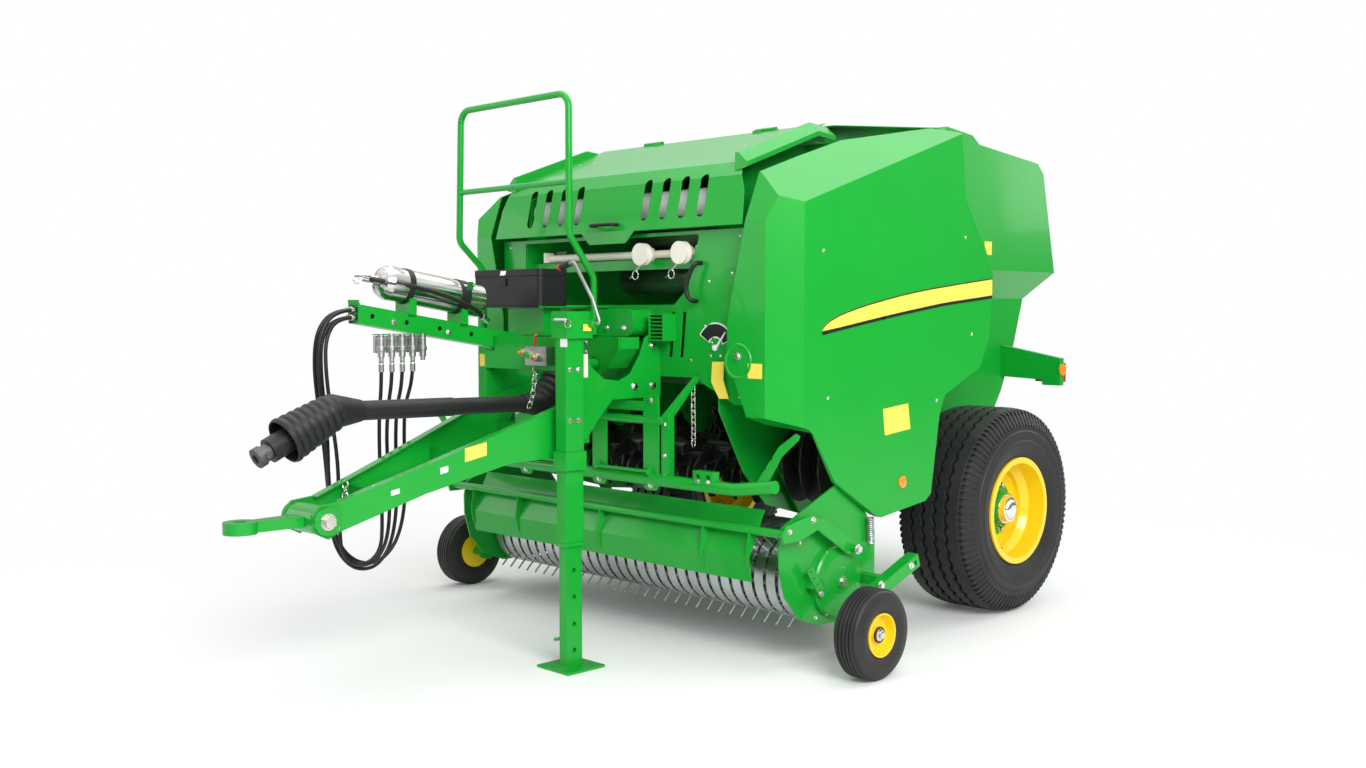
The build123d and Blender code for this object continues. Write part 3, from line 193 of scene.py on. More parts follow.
def buildDust():
    # a thin film of dust: more on what lies flat and near the ground
    group, given, result = newGroup("dust", [("Amount", "Float", 0.2), ("Low", "Float", 0.5)],
                                    [("Mask", "Float")])
    place = objectPlace(group)
    flat = put(group, "ShaderNodeNewGeometry")
    up = put(group, "ShaderNodeSeparateXYZ", None, {0: flat.outputs["Normal"]})
    lying = remap(group, up.outputs["Z"], dustFilm["steep"], dustFilm["level"])
    height = put(group, "ShaderNodeSeparateXYZ", None, {0: place})
    low = remap(group, height.outputs["Z"], dustFilm["above"], 0.0, 0.0, given["Low"])
    where = put(group, "ShaderNodeMath", {"operation": "ADD", "use_clamp": True}, {0: lying, 1: low})
    cloud = put(group, "ShaderNodeTexNoise", None, {"Vector": place, **dustFilm["noise"]})
    patch = remap(group, cloud.outputs["Fac"], dustFilm["none"], dustFilm["full"])
    mask = calc(group, "MULTIPLY", calc(group, "MULTIPLY", where.outputs[0], patch), given["Amount"])
    group.links.new(mask, result["Mask"])
    return group


def buildGrain():
    # a fine uneven surface, such as orange peel, cast skin or moulded texture
    group, given, result = newGroup("grain", [("Scale", "Float", 300.0), ("Stretch", "Vector", (1, 1, 1))],
                                    [("Height", "Float"), ("Shade", "Float")])
    drawn = put(group, "ShaderNodeVectorMath", {"operation": "MULTIPLY"},
                {0: objectPlace(group), 1: given["Stretch"]}).outputs[0]
    fine = put(group, "ShaderNodeTexNoise", None,
               {"Vector": drawn, "Scale": given["Scale"], **skinGrain["fine"]})
    broad = put(group, "ShaderNodeTexNoise", None, {"Vector": drawn, **skinGrain["broad"]})
    group.links.new(fine.outputs["Fac"], result["Height"])
    group.links.new(broad.outputs["Fac"], result["Shade"])
    return group


softEdge = buildSoftEdge()
dust = buildDust()
grain = buildGrain()

# Finishes, one row each: colour, the tone under it, and how rough, coated, grainy, worn and dusty it is.
coatColumns = ("colour", "under", "rough", "coat", "grain", "bump", "edge", "wear", "dust")
coatRows = {
    "green_paint": ((0.005, 0.345, 0.028), (0.004, 0.16, 0.014), 0.28, 0.2, 420, 0.012, 0.003, 0.12, 0.012),
    "yellow_paint": ((0.95, 0.63, 0.008), (0.4, 0.2, 0.01), 0.26, 0.5, 420, 0.012, 0.003, 0.2, 0.08),
    "black_paint": ((0.014, 0.014, 0.015), (0.09, 0.085, 0.08), 0.4, 0.15, 420, 0.03, 0.002, 0.4, 0.12),
    "rotor_paint": ((0.01, 0.011, 0.01), (0.03, 0.3, 0.05), 0.38, 0.2, 420, 0.03, 0.006, 1.0, 0.05),
    "cream_paint": ((0.8, 0.77, 0.66), (0.3, 0.27, 0.2), 0.35, 0.3, 300, 0.02, 0.002, 0.2, 0.1),
    "black_plastic": ((0.014, 0.014, 0.015), (0.05, 0.05, 0.052), 0.44, 0.0, 900, 0.12, 0.004, 0.3, 0.1),
    "tyre_rubber": ((0.019, 0.0195, 0.0205), (0.04, 0.04, 0.04), 0.52, 0.0, 700, 0.12, 0.003, 0.4, 0.07),
    "rubber_hose": ((0.013, 0.013, 0.0135), (0.04, 0.04, 0.04), 0.38, 0.0, 900, 0.05, 0.001, 0.0, 0.05),
    "lamp_plastic": ((0.92, 0.27, 0.01), (0.6, 0.12, 0.01), 0.2, 0.8, 200, 0.02, 0.002, 0.0, 0.03),
    "red_lens": ((0.55, 0.012, 0.01), (0.3, 0.01, 0.01), 0.18, 0.8, 200, 0.02, 0.002, 0.0, 0.03),
    "red_paint": ((0.62, 0.016, 0.012), (0.3, 0.01, 0.01), 0.35, 0.3, 300, 0.02, 0.002, 0.0, 0.05),
    "yellow_film": ((0.93, 0.72, 0.1), (0.8, 0.6, 0.1), 0.34, 0.2, 300, 0.01, 0.0005, 0.0, 0.03),
    "black_film": ((0.014, 0.014, 0.015), (0.03, 0.03, 0.03), 0.32, 0.2, 300, 0.01, 0.0005, 0.0, 0.03),
    "white_film": ((0.82, 0.83, 0.82), (0.6, 0.6, 0.6), 0.34, 0.2, 300, 0.01, 0.0005, 0.0, 0.03),
    "net_wrap": ((0.84, 0.86, 0.84), (0.6, 0.62, 0.6), 0.7, 0.0, 160, 0.4, 0.001, 0.0, 0.1),
}
metalColumns = ("colour", "dull", "rough", "grain", "bump", "stretch")
metalRows = {
    "bare_steel": ((0.52, 0.52, 0.52), (0.26, 0.25, 0.24), 0.32, 250, 0.06, (1, 1, 1)),
    "galvanised": ((0.66, 0.68, 0.69), (0.4, 0.415, 0.42), 0.27, 90, 0.03, (1, 1, 1)),
    "cast_metal": ((0.16, 0.16, 0.16), (0.06, 0.06, 0.06), 0.55, 260, 0.2, (1, 1, 1)),
    "steel_bottle": ((0.6, 0.595, 0.585), (0.4, 0.395, 0.39), 0.1, 60, 0.01, (30, 1, 30)),
    "chrome_rod": ((0.8, 0.8, 0.81), (0.62, 0.62, 0.62), 0.1, 60, 0.0, (1, 1, 1)),
    "zinc_bolt": ((0.78, 0.77, 0.74), (0.52, 0.5, 0.45), 0.2, 300, 0.03, (1, 1, 1)),
    "brass": ((0.74, 0.47, 0.16), (0.46, 0.27, 0.09), 0.26, 200, 0.03, (1, 1, 1)),
}
finishes = {name: dict(zip(coatColumns, row)) for name, row in coatRows.items()}
metals = {name: dict(zip(metalColumns, row)) for name, row in metalRows.items()}
coatShine = {"Coat Roughness": 0.06, "Specular IOR Level": 0.28}
dusty = {"low": 0.6, "rough": 0.85, "metal": 0.08}     # near the ground, its roughness, and on metal
# paint is shaded deeper by a share in places, and metal goes from dull to bright between two shades
shading = {"deep": 0.14, "bump": 0.001, "metalEdge": 0.002, "dullest": 0.35, "brightest": 0.65,
           "smoothest": 0.8, "roughest": 1.5}


def startMaterial(name):
    material = bpy.data.materials.new(name)
    material.use_nodes = True
    tree = material.node_tree
    tree.nodes.clear()
    return material, tree


def useGroup(tree, group, ins):
    return put(tree, "ShaderNodeGroup", {"node_tree": group}, ins).outputs


def blendTone(tree, share, first, second):
    mix = tree.nodes.new("ShaderNodeMix")
    mix.data_type = "RGBA"
    for index, value in ((0, share), (6, first), (7, second)):
        if isinstance(value, bpy.types.NodeSocket):
            tree.links.new(value, mix.inputs[index])
        else:
            mix.inputs[index].default_value = value
    return mix.outputs[2]


def raiseSkin(tree, look, skin, edge):
    return put(tree, "ShaderNodeBump", None,
               {"Strength": look["bump"], "Distance": shading["bump"], "Height": skin["Height"],
                "Normal": edge["Normal"]}).outputs[0]


def closeMaterial(tree, ins):
    shader = put(tree, "ShaderNodeBsdfPrincipled", None, ins)
    put(tree, "ShaderNodeOutputMaterial", None, {"Surface": shader.outputs[0]})


def coatedFinish(name, look, change=None):
    # paint, rubber or plastic: one colour, worn lighter or darker at its edges, under a film of dust
    material, tree = startMaterial(name)
    edge = useGroup(tree, softEdge, {"Radius": look["edge"], "Wear": look["wear"]})
    film = useGroup(tree, dust, {"Amount": look["dust"], "Low": dusty["low"]})
    skin = useGroup(tree, grain, {"Scale": look["grain"]})
    base = look["colour"] + (1,)
    if change:
        # a second colour where the piece lies beyond a limit along one axis
        apart = put(tree, "ShaderNodeSeparateXYZ", None, {0: objectPlace(tree)})
        reach = calc(tree, "ABSOLUTE", apart.outputs[change["axis"]])
        beyond = calc(tree, "GREATER_THAN", reach, change["limit"])
        base = blendTone(tree, beyond, base, finishes[change["finish"]]["colour"] + (1,))
    deep = blendTone(tree, shading["deep"], base, (0, 0, 0, 1))
    tone = blendTone(tree, skin["Shade"], deep, base)
    tone = blendTone(tree, edge["Edge"], tone, look["under"] + (1,))
    tone = blendTone(tree, film["Mask"], tone, dustFilm["tone"])
    closeMaterial(tree, {"Base Color": tone, "Normal": raiseSkin(tree, look, skin, edge),
                         "Roughness": remap(tree, film["Mask"], 0.0, 1.0, look["rough"], dusty["rough"]),
                         "Coat Weight": look["coat"], **coatShine})
    return material


def metalFinish(name, look):
    # bare or plated metal, mottled between a dull and a bright tone; dust takes its shine away
    material, tree = startMaterial(name)
    edge = useGroup(tree, softEdge, {"Radius": shading["metalEdge"], "Wear": 0.0})
    film = useGroup(tree, dust, {"Amount": dusty["metal"], "Low": dusty["low"]})
    skin = useGroup(tree, grain, {"Scale": look["grain"], "Stretch": look["stretch"]})
    spread = remap(tree, skin["Shade"], shading["dullest"], shading["brightest"])
    tone = blendTone(tree, spread, look["dull"] + (1,), look["colour"] + (1,))
    tone = blendTone(tree, film["Mask"], tone, dustFilm["tone"])
    rough = remap(tree, skin["Height"], 0.0, 1.0, look["rough"] * shading["smoothest"],
                  look["rough"] * shading["roughest"])
    closeMaterial(tree, {"Base Color": tone, "Normal": raiseSkin(tree, look, skin, edge),
                         "Roughness": rough,
                         "Metallic": remap(tree, film["Mask"], 0.0, 1.0, 1.0, 0.0)})
    return material


materials = {name: coatedFinish(name, look) for name, look in finishes.items()}
materials.update({name: metalFinish(name, look) for name, look in metals.items()})
lampAmber = {"axis": "X", "limit": 0.928, "finish": "lamp_plastic"}     # the outer end of each lamp
materials["lamp_set"] = coatedFinish("lamp_set", finishes["red_lens"], lampAmber)
ownFinish = {"pickup_reel": "galvanised", "feed_rotor": "rotor_paint", "side_augers": "rotor_paint",
             "rear_lamps": "lamp_set"}
for part in frame["record"]["subparts"]:
    node = frame["nodes"][part["node"]]
    node.data.materials.clear()
    node.data.materials.append(materials[ownFinish.get(part["node"], part["material_slot"])])
print("finishes on", len(frame["nodes"]), "nodes")

# Mesh helpers. Places are in millimetres from the ground under the middle of the axle.
shiftY = 1.1855     # metres from the axle to the middle of the baler's length
sharpAngle = math.radians(32)
weldReach = 0.00001
toLeft = (1, 0, 0)
toFront = (0, -1, 0)


def at(x, y, z):
    return Vector((x / 1000, y / 1000 + shiftY, z / 1000))


def slab(corners, shift):
    # a flat outline of places, made as thick as the shift
    count = len(corners)
    points = [Vector(c) for c in corners] + [Vector(c) + Vector(shift) for c in corners]
    faces = [tuple(range(count)), tuple(range(count, 2 * count))]
    faces += [(i, (i + 1) % count, (i + 1) % count + count, i + count) for i in range(count)]
    return points, faces


def prism(axis, outline, low, high):
    if axis == "y":
        return slab([(a, low, b) for a, b in outline], (0, high - low, 0))
    return slab([(a, b, low) for a, b in outline], (0, 0, high - low))


def block(x0, x1, y0, y1, z0, z1):
    return prism("z", [(x0, y0), (x1, y0), (x1, y1), (x0, y1)], z0, z1)


def bridge(rings, count, steps):
    # faces between rings of points, each ring with count points and steps faces round it
    faces = []
    for i in range(rings - 1):
        for k in range(steps):
            n = (k + 1) % count
            faces.append((i * count + k, i * count + n, (i + 1) * count + n, (i + 1) * count + k))
    return faces


def lathe(start, toward, rows, steps=32, arc=(0, 360)):
    # rows of (distance, radius) turned about the line from start towards the other place
    axis = (Vector(toward) - Vector(start)).normalized()
    level = Vector((0, 0, 1)) if abs(axis.z) < 0.9 else Vector((1, 0, 0))
    side = (level - axis * level.dot(axis)).normalized()
    other = axis.cross(side)
    first, last = arc
    count = steps if last - first >= 360 else steps + 1
    points = []
    for distance, radius in rows:
        for k in range(count):
            turn = math.radians(first + (last - first) * k / steps)
            way = side * math.cos(turn) + other * math.sin(turn)
            points.append(Vector(start) + axis * distance + way * radius)
    return points, bridge(len(rows), count, steps)


def rodShape(start, end, radius, steps=20):
    length = (Vector(end) - Vector(start)).length
    return lathe(start, end, [(0, 0), (0, radius), (length, radius), (length, 0)], steps)


def roundLine(path, rounds=2):
    # cuts the corners off a line of places, a few times over
    for _ in range(rounds):
        cut = [path[0]]
        for a, b in zip(path, path[1:]):
            cut += [a.lerp(b, 0.25), a.lerp(b, 0.75)]
        path = cut + [path[-1]]
    return path


def sweepShape(path, radius, steps=10):
    # a round bar along the rounded path
    path = roundLine([Vector(p) for p in path])
    side = (path[1] - path[0]).orthogonal().normalized()
    points = []
    for i, place in enumerate(path):
        ahead = (path[min(i + 1, len(path) - 1)] - path[max(i - 1, 0)]).normalized()
        side = (side - ahead * side.dot(ahead)).normalized()
        other = ahead.cross(side)
        for k in range(steps):
            turn = 2 * math.pi * k / steps
            points.append(place + (side * math.cos(turn) + other * math.sin(turn)) * radius)
    ends = [tuple(range(steps)), tuple(range(len(points) - steps, len(points)))]
    return points, ends + bridge(len(path), steps, steps)


def ringShape(centre, axis, radius, thick, steps=28, sides=8):
    turns = [2 * math.pi * k / sides for k in range(sides + 1)]
    rows = [(thick * math.sin(turn), radius + thick * math.cos(turn)) for turn in turns]
    return lathe(centre, Vector(centre) + Vector(axis), rows, steps)


def mirrorShapes(shapes):
    return [([Vector((-p[0], p[1], p[2])) for p in points], faces) for points, faces in shapes]


def handed(shapes, sign):
    # shapes drawn for the left side, given for either side
    return shapes if sign > 0 else mirrorShapes(shapes)


def handedRows(rows, sign):
    return [(sign * x, y, z, (sign * way[0], way[1], way[2]), size) for x, y, z, way, size in rows]


def smooth(mesh):
    mesh.shade_smooth()
    mesh.set_sharp_from_angle(angle=sharpAngle)


def shapeMesh(name, shapes):
    points = []
    faces = []
    for some, rows in shapes:
        start = len(points)
        points += [at(*p) for p in some]
        faces += [tuple(start + i for i in row) for row in rows]
    mesh = bpy.data.meshes.new(name)
    mesh.from_pydata(points, [], faces)
    work = bmesh.new()
    work.from_mesh(mesh)
    bmesh.ops.remove_doubles(work, verts=work.verts, dist=weldReach)
    bmesh.ops.recalc_face_normals(work, faces=work.faces)
    work.to_mesh(mesh)
    work.free()
    smooth(mesh)
    return mesh


def addPiece(name, finish, body, shapes):
    obj = bpy.data.objects.new(name, shapeMesh(name, shapes))
    scene.collection.objects.link(obj)
    obj.data.materials.append(materials[finish])
    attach(obj, body)
    return obj


# Geometry trees for what repeats. A fastener is drawn one unit in radius and scaled to its size.
fastener = {"washer": {"Vertices": 20, "Radius": 1.35, "Depth": 0.18}, "turn": 1.05, "domeHeight": 0.45,
            "dome": {"Segments": 16, "Rings": 8, "Radius": 1.0}}
roundWire = {"turn": 20, "section": 8}     # steps round a link or a coil, and round its wire
aroundWeld = 0.00002


def newTree(name, inputs):
    tree = bpy.data.node_groups.new(name, "GeometryNodeTree")
    tree.interface.new_socket("Geometry", in_out="INPUT", socket_type="NodeSocketGeometry")
    for label, kind, value in inputs:
        socket = tree.interface.new_socket(label, in_out="INPUT", socket_type="NodeSocket" + kind)
        socket.default_value = value
    tree.interface.new_socket("Material", in_out="INPUT", socket_type="NodeSocketMaterial")
    tree.interface.new_socket("Geometry", in_out="OUTPUT", socket_type="NodeSocketGeometry")
    return tree, put(tree, "NodeGroupInput").outputs, put(tree, "NodeGroupOutput")


def geo(tree, kind, props=None, ins=None):
    # the first output of a geometry node
    return put(tree, "GeometryNode" + kind, props, ins).outputs[0]


def closeTree(tree, given, result, geometry, weld=0.0):
    real = geo(tree, "RealizeInstances", None, {0: geometry})
    if weld:
        real = geo(tree, "MergeByDistance", None, {"Geometry": real, "Distance": weld})
    painted = geo(tree, "SetMaterial", None, {"Geometry": real, "Material": given["Material"]})
    tree.links.new(painted, result.inputs["Geometry"])
    return tree


def turnAbout(tree, axis, angle):
    return put(tree, "FunctionNodeAxisAngleToRotation", None, {"Axis": axis, "Angle": angle}).outputs[0]


def standAndSpin(tree, axis, way, spin):
    # a rotation that takes the axis to a direction, then spins about that axis
    stand = put(tree, "FunctionNodeAlignRotationToVector", {"axis": axis}, {"Vector": way})
    return put(tree, "FunctionNodeRotateRotation", {"rotation_space": "LOCAL"},
               {"Rotation": stand.outputs[0], "Rotate By": spin}).outputs[0]


def buildFasteners():
    # a hexagon head on its washer, or a domed rivet, on each point, along the point's axis
    tree, given, result = newTree("fasteners", [("Sides", "Int", 6), ("Height", "Float", 0.7),
                                                ("Domed", "Bool", False), ("Seed", "Int", 3)])
    thick = fastener["washer"]["Depth"]
    washer = geo(tree, "MeshCylinder", None, fastener["washer"])
    washer = geo(tree, "Transform", None, {"Geometry": washer, "Translation": (0, 0, thick / 2)})
    head = geo(tree, "MeshCylinder", None,
               {"Vertices": given["Sides"], "Radius": 1.0, "Depth": given["Height"]})
    half = calc(tree, "MULTIPLY_ADD", given["Height"], 0.5, thick)
    lift = put(tree, "ShaderNodeCombineXYZ", None, {"Z": half})
    head = geo(tree, "Transform", None, {"Geometry": head, "Translation": lift.outputs[0]})
    joined = put(tree, "GeometryNodeJoinGeometry")
    for piece in (washer, head):
        tree.links.new(piece, joined.inputs[0])
    ball = geo(tree, "MeshUVSphere", None, fastener["dome"])
    dome = geo(tree, "Transform", None, {"Geometry": ball, "Scale": (1, 1, fastener["domeHeight"])})
    shape = geo(tree, "Switch", {"input_type": "GEOMETRY"},
                {"Switch": given["Domed"], "False": joined.outputs[0], "True": dome})
    way = geo(tree, "InputNamedAttribute", {"data_type": "FLOAT_VECTOR"}, {"Name": "axis"})
    size = geo(tree, "InputNamedAttribute", {"data_type": "FLOAT"}, {"Name": "size"})
    chance = put(tree, "FunctionNodeRandomValue", {"data_type": "FLOAT"},
                 {2: 0.0, 3: fastener["turn"], "Seed": given["Seed"]})
    turned = standAndSpin(tree, "Z", way, turnAbout(tree, (0, 0, 1), chance.outputs[1]))
    placed = geo(tree, "InstanceOnPoints", None,
                 {"Points": given["Geometry"], "Instance": shape, "Rotation": turned, "Scale": size})
    return closeTree(tree, given, result, placed)


def buildChain():
    # oval links along a line of points, each turned a quarter from the one before
    tree, given, result = newTree("chain", [("Pitch", "Float", 0.02), ("Length", "Float", 0.03),
                                            ("Width", "Float", 0.02), ("Wire", "Float", 0.003)])
    line = geo(tree, "MeshToCurve", None, {"Mesh": given["Geometry"]})
    line = geo(tree, "ResampleCurve", {"mode": "LENGTH"}, {"Curve": line, "Length": given["Pitch"]})
    long = calc(tree, "MULTIPLY", given["Length"], 0.5)
    wide = calc(tree, "MULTIPLY", given["Width"], 0.5)
    size = put(tree, "ShaderNodeCombineXYZ", None, {"X": long, "Y": wide, "Z": 1.0})
    oval = geo(tree, "CurvePrimitiveCircle", None, {"Resolution": roundWire["turn"], "Radius": 1.0})
    oval = geo(tree, "Transform", None, {"Geometry": oval, "Scale": size.outputs[0]})
    section = geo(tree, "CurvePrimitiveCircle", None,
                  {"Resolution": roundWire["section"], "Radius": given["Wire"]})
    link = geo(tree, "CurveToMesh", None, {"Curve": oval, "Profile Curve": section})
    odd = calc(tree, "MODULO", geo(tree, "InputIndex"), 2.0)
    quarter = turnAbout(tree, (1, 0, 0), calc(tree, "MULTIPLY", odd, math.pi / 2))
    turned = standAndSpin(tree, "X", geo(tree, "InputTangent"), quarter)
    placed = geo(tree, "InstanceOnPoints", None, {"Points": line, "Instance": link, "Rotation": turned})
    return closeTree(tree, given, result, placed)


def buildAround():
    # one segment repeated about the X axis
    tree, given, result = newTree("around", [("Count", "Int", 6)])
    spots = geo(tree, "Points", None, {"Count": given["Count"]})
    share = calc(tree, "DIVIDE", geo(tree, "InputIndex"), given["Count"])
    spin = turnAbout(tree, (1, 0, 0), calc(tree, "MULTIPLY", share, 2 * math.pi))
    placed = geo(tree, "InstanceOnPoints", None,
                 {"Points": spots, "Instance": given["Geometry"], "Rotation": spin})
    return closeTree(tree, given, result, placed, aroundWeld)


def buildSpring():
    tree, given, result = newTree("spring", [("Turns", "Float", 10.0), ("Radius", "Float", 0.02),
                                             ("Length", "Float", 0.1), ("Wire", "Float", 0.003)])
    coil = geo(tree, "CurveSpiral", None,
               {"Resolution": roundWire["turn"], "Rotations": given["Turns"],
                "Start Radius": given["Radius"],
                "End Radius": given["Radius"], "Height": given["Length"]})
    section = geo(tree, "CurvePrimitiveCircle", None,
                  {"Resolution": roundWire["section"], "Radius": given["Wire"]})
    wire = geo(tree, "CurveToMesh", None, {"Curve": coil, "Profile Curve": section})
    return closeTree(tree, given, result, wire)


trees = {"fasteners": buildFasteners(), "chain": buildChain(), "around": buildAround(),
         "spring": buildSpring()}


def growPiece(name, tree, mesh, values, finish, body, place=None):
    # builds a tree's result as a plain mesh, puts it in place and lets it ride on a body
    obj = bpy.data.objects.new(name, mesh)
    scene.collection.objects.link(obj)
    modifier = obj.modifiers.new("build", "NODES")
    modifier.node_group = trees[tree]
    values = dict(values, Material=materials[finish])
    for item in trees[tree].interface.items_tree:
        if item.in_out == "INPUT" and item.name in values:
            modifier[item.identifier] = values[item.name]
    built = bpy.data.meshes.new_from_object(obj.evaluated_get(bpy.context.evaluated_depsgraph_get()))
    obj.modifiers.remove(modifier)
    obj.data = built
    smooth(built)
    if place:
        built.transform(place)
    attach(obj, body)
    return obj


def placeAlong(start, end):
    # a matrix that takes the Z axis to the line between two places
    start = at(*start)
    turn = (at(*end) - start).to_track_quat("Z", "Y")
    return Matrix.Translation(start) @ turn.to_matrix().to_4x4()


def pointMesh(name, rows):
    # rows of (x, y, z, axis, size): the places, ways and sizes of fasteners
    mesh = bpy.data.meshes.new(name)
    mesh.from_pydata([at(x, y, z) for x, y, z, axis, size in rows], [], [])
    mesh.attributes.new("axis", "FLOAT_VECTOR", "POINT")
    mesh.attributes.new("size", "FLOAT", "POINT")
    for i, (x, y, z, axis, size) in enumerate(rows):
        mesh.attributes["axis"].data[i].vector = axis
        mesh.attributes["size"].data[i].value = size / 1000
    return mesh


def lineMesh(name, path):
    path = roundLine([Vector(p) for p in path])
    mesh = bpy.data.meshes.new(name)
    mesh.from_pydata([at(*p) for p in path], [(i, i + 1) for i in range(len(path) - 1)], [])
    return mesh


print("tools ready")

# Hoses. Each route is a list of points from the holder's end plate, round the loop and up to its coupler.
hoses = {
    "hose_a": {"length": 1.873, "route": [
        (-238, -2548, 1313), (-238, -2632, 1313), (-228, -2690, 1240), (-216, -2698, 1118),
        (-212, -2680, 955), (-212, -2656, 790), (-212, -2654, 650), (-212, -2652, 535), (-212, -2646, 445),
        (-212, -2597, 396), (-212, -2527, 394), (-211, -2478, 443), (-210, -2472, 535), (-210, -2476, 665),
        (-209, -2482, 810), (-201, -2486, 950), (-192, -2480, 1062), (-192, -2480, 1150)]},
    "hose_b": {"length": 1.951, "route": [
        (-238, -2548, 1341), (-238, -2636, 1341), (-236, -2706, 1264), (-235, -2720, 1134),
        (-234, -2702, 970), (-234, -2686, 812), (-234, -2678, 670), (-234, -2668, 548), (-234, -2636, 448),
        (-234, -2570, 382), (-234, -2490, 388), (-233, -2440, 456), (-232, -2424, 570), (-230, -2430, 715),
        (-226, -2440, 860), (-210, -2440, 985), (-192, -2434, 1078), (-192, -2434, 1150)]},
    "hose_c": {"length": 1.975, "route": [
        (-262, -2548, 1313), (-262, -2632, 1313), (-260, -2690, 1238), (-257, -2694, 1106),
        (-256, -2677, 947), (-256, -2668, 790), (-256, -2674, 648), (-256, -2664, 528), (-256, -2628, 428),
        (-256, -2560, 366), (-256, -2474, 364), (-255, -2412, 430), (-254, -2384, 540), (-252, -2378, 680),
        (-248, -2386, 830), (-226, -2394, 965), (-192, -2388, 1072), (-192, -2388, 1150)]},
    "hose_d": {"length": 2.012, "route": [
        (-262, -2548, 1341), (-262, -2636, 1341), (-268, -2703, 1267), (-276, -2712, 1138),
        (-278, -2694, 980), (-278, -2672, 826), (-278, -2660, 682), (-278, -2648, 556), (-278, -2610, 452),
        (-278, -2540, 386), (-278, -2446, 376), (-277, -2372, 436), (-275, -2334, 546), (-272, -2326, 690),
        (-266, -2336, 842), (-240, -2348, 975), (-192, -2342, 1078), (-192, -2342, 1150)]},
}
hoseWidth = 0.014
# crimped ends: rows of (distance along, radius)
ferrules = {"lowDrop": 42, "low": [(0, 7.2), (0, 10), (30, 10), (32, 8.6), (42, 8.6)],
            "top": [(2, 7.2), (2, 10), (20, 10), (20, 12), (32, 12), (32, 7.2)], "steps": 12}


def addHose(name, hose):
    data = bpy.data.curves.new(name, "CURVE")
    data.dimensions = "3D"
    spline = data.splines.new("NURBS")
    route = [at(*p) for p in hose["route"]]
    spline.points.add(len(route) - 1)
    for point, place in zip(spline.points, route):
        point.co = (*place, 1)
    spline.order_u = 3
    spline.use_endpoint_u = True
    spline.resolution_u = 12
    data.bevel_depth = hoseWidth / 2
    data.bevel_resolution = 4
    obj = bpy.data.objects.new(name + "_run", data)
    scene.collection.objects.link(obj)
    data.materials.append(materials["rubber_hose"])
    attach(obj, "root")
    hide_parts(name)


for hoseName, hose in hoses.items():
    addHose(hoseName, hose)
ends = []
for hose in hoses.values():
    topX, topY, topZ = hose["route"][0]
    lowX, lowY, lowZ = hose["route"][-1]
    start = (lowX, lowY, lowZ - ferrules["lowDrop"])
    ends.append(lathe(start, (lowX, lowY, lowZ), ferrules["low"], ferrules["steps"]))
    ends.append(lathe((topX, topY, topZ), (topX, topY - 50, topZ), ferrules["top"], ferrules["steps"]))
addPiece("hose_ferrules", "zinc_bolt", "root", ends)
print("hoses laid")

# Main wheels. Profiles are rows of (distance from the middle, radius).
sides = {"left": 1, "right": -1}
wheel = {"x": 860, "z": 455, "face": 906, "steps": 96}
carcassRows = [(-164, 219), (-166, 238), (-172, 252), (-179, 262), (-181, 274), (-187, 284), (-189, 296),
               (-191, 310), (-188, 314), (-189, 334), (-192, 338), (-190, 352), (-184, 358), (-184, 372),
               (-176, 396), (-166, 416), (-156, 430), (-140, 436), (-100, 437), (0, 438)]
tread = {
    "segments": 48, "centres": (-118, -58, 0, 58, 118), "width": 41, "swing": 7, "crown": 454, "foot": 434,
    "edgeFrom": 100, "edgeWiden": 3, "edgeDrop": 6, "flare": 2, "zigzag": ((0, 1), (0.5, -1), (1, 1)),
    "lug": ((138, 447), (157, 442), (187, 379), (180, 372), (150, 426)), "lugsAt": (0.0, 0.5),
    "lugSpan": (0.36, 0.12),
}
hub = {
    "flange": [(0, 60), (0, 124), (5, 124), (7, 96), (10, 94), (14, 72), (50, 68), (53, 60)],
    "cap": [(84, 54), (85, 46), (90, 44), (96, 36), (98, 20), (98, 0)],
    "ring": [(54, 63), (58, 65), (62, 63), (62, 58)],
    "bolts": 8, "firstBolt": 22.5, "boltCircle": 108, "boltSeat": 6, "boltSize": 13, "boltHeight": 1.1,
    "valve": {"x": (906, 948), "z": (290, 272), "radius": 6},
}


def mainCarcass(x):
    rows = carcassRows + [(-a, r) for a, r in reversed(carcassRows[:-1])]
    return lathe((x, 0, wheel["z"]), (x + 1, 0, wheel["z"]), rows, wheel["steps"])


def onTyre(x, away, radius, turn):
    return (x + away, -radius * math.sin(turn), wheel["z"] + radius * math.cos(turn))


def treadSegment(x):
    # one pitch of the zig-zag ribs, and two lugs on each shoulder
    step = 2 * math.pi / tread["segments"]
    shapes = []
    for centre in tread["centres"]:
        edge = abs(centre) > tread["edgeFrom"]
        half = tread["width"] / 2 + (tread["edgeWiden"] if edge else 0)
        points = []
        for k, swing in tread["zigzag"]:
            turn = step * (k - 0.5)
            for side in (-1, 1):
                outer = edge and side * centre > 0
                away = centre + side * half + (0 if outer else tread["swing"] * swing)
                crown = tread["crown"] - (tread["edgeDrop"] if outer else 0)
                points.append(onTyre(x, away, crown, turn))
                points.append(onTyre(x, away + side * tread["flare"], tread["foot"], turn))
        faces = []
        for k in (0, 4):
            faces += [(k, k + 2, k + 6, k + 4), (k + 1, k, k + 4, k + 5), (k + 2, k + 3, k + 7, k + 6)]
        shapes.append((points, faces))
    count = len(tread["lug"])
    around = [(i, (i + 1) % count, (i + 1) % count + count, i + count) for i in range(count)]
    ends = [tuple(range(count)), tuple(range(count, 2 * count))]
    for side in (-1, 1):
        for k in tread["lugsAt"]:
            points = [onTyre(x, side * away, radius, step * (k - share))
                      for share in tread["lugSpan"] for away, radius in tread["lug"]]
            shapes.append((points, around + ends))
    return shapes


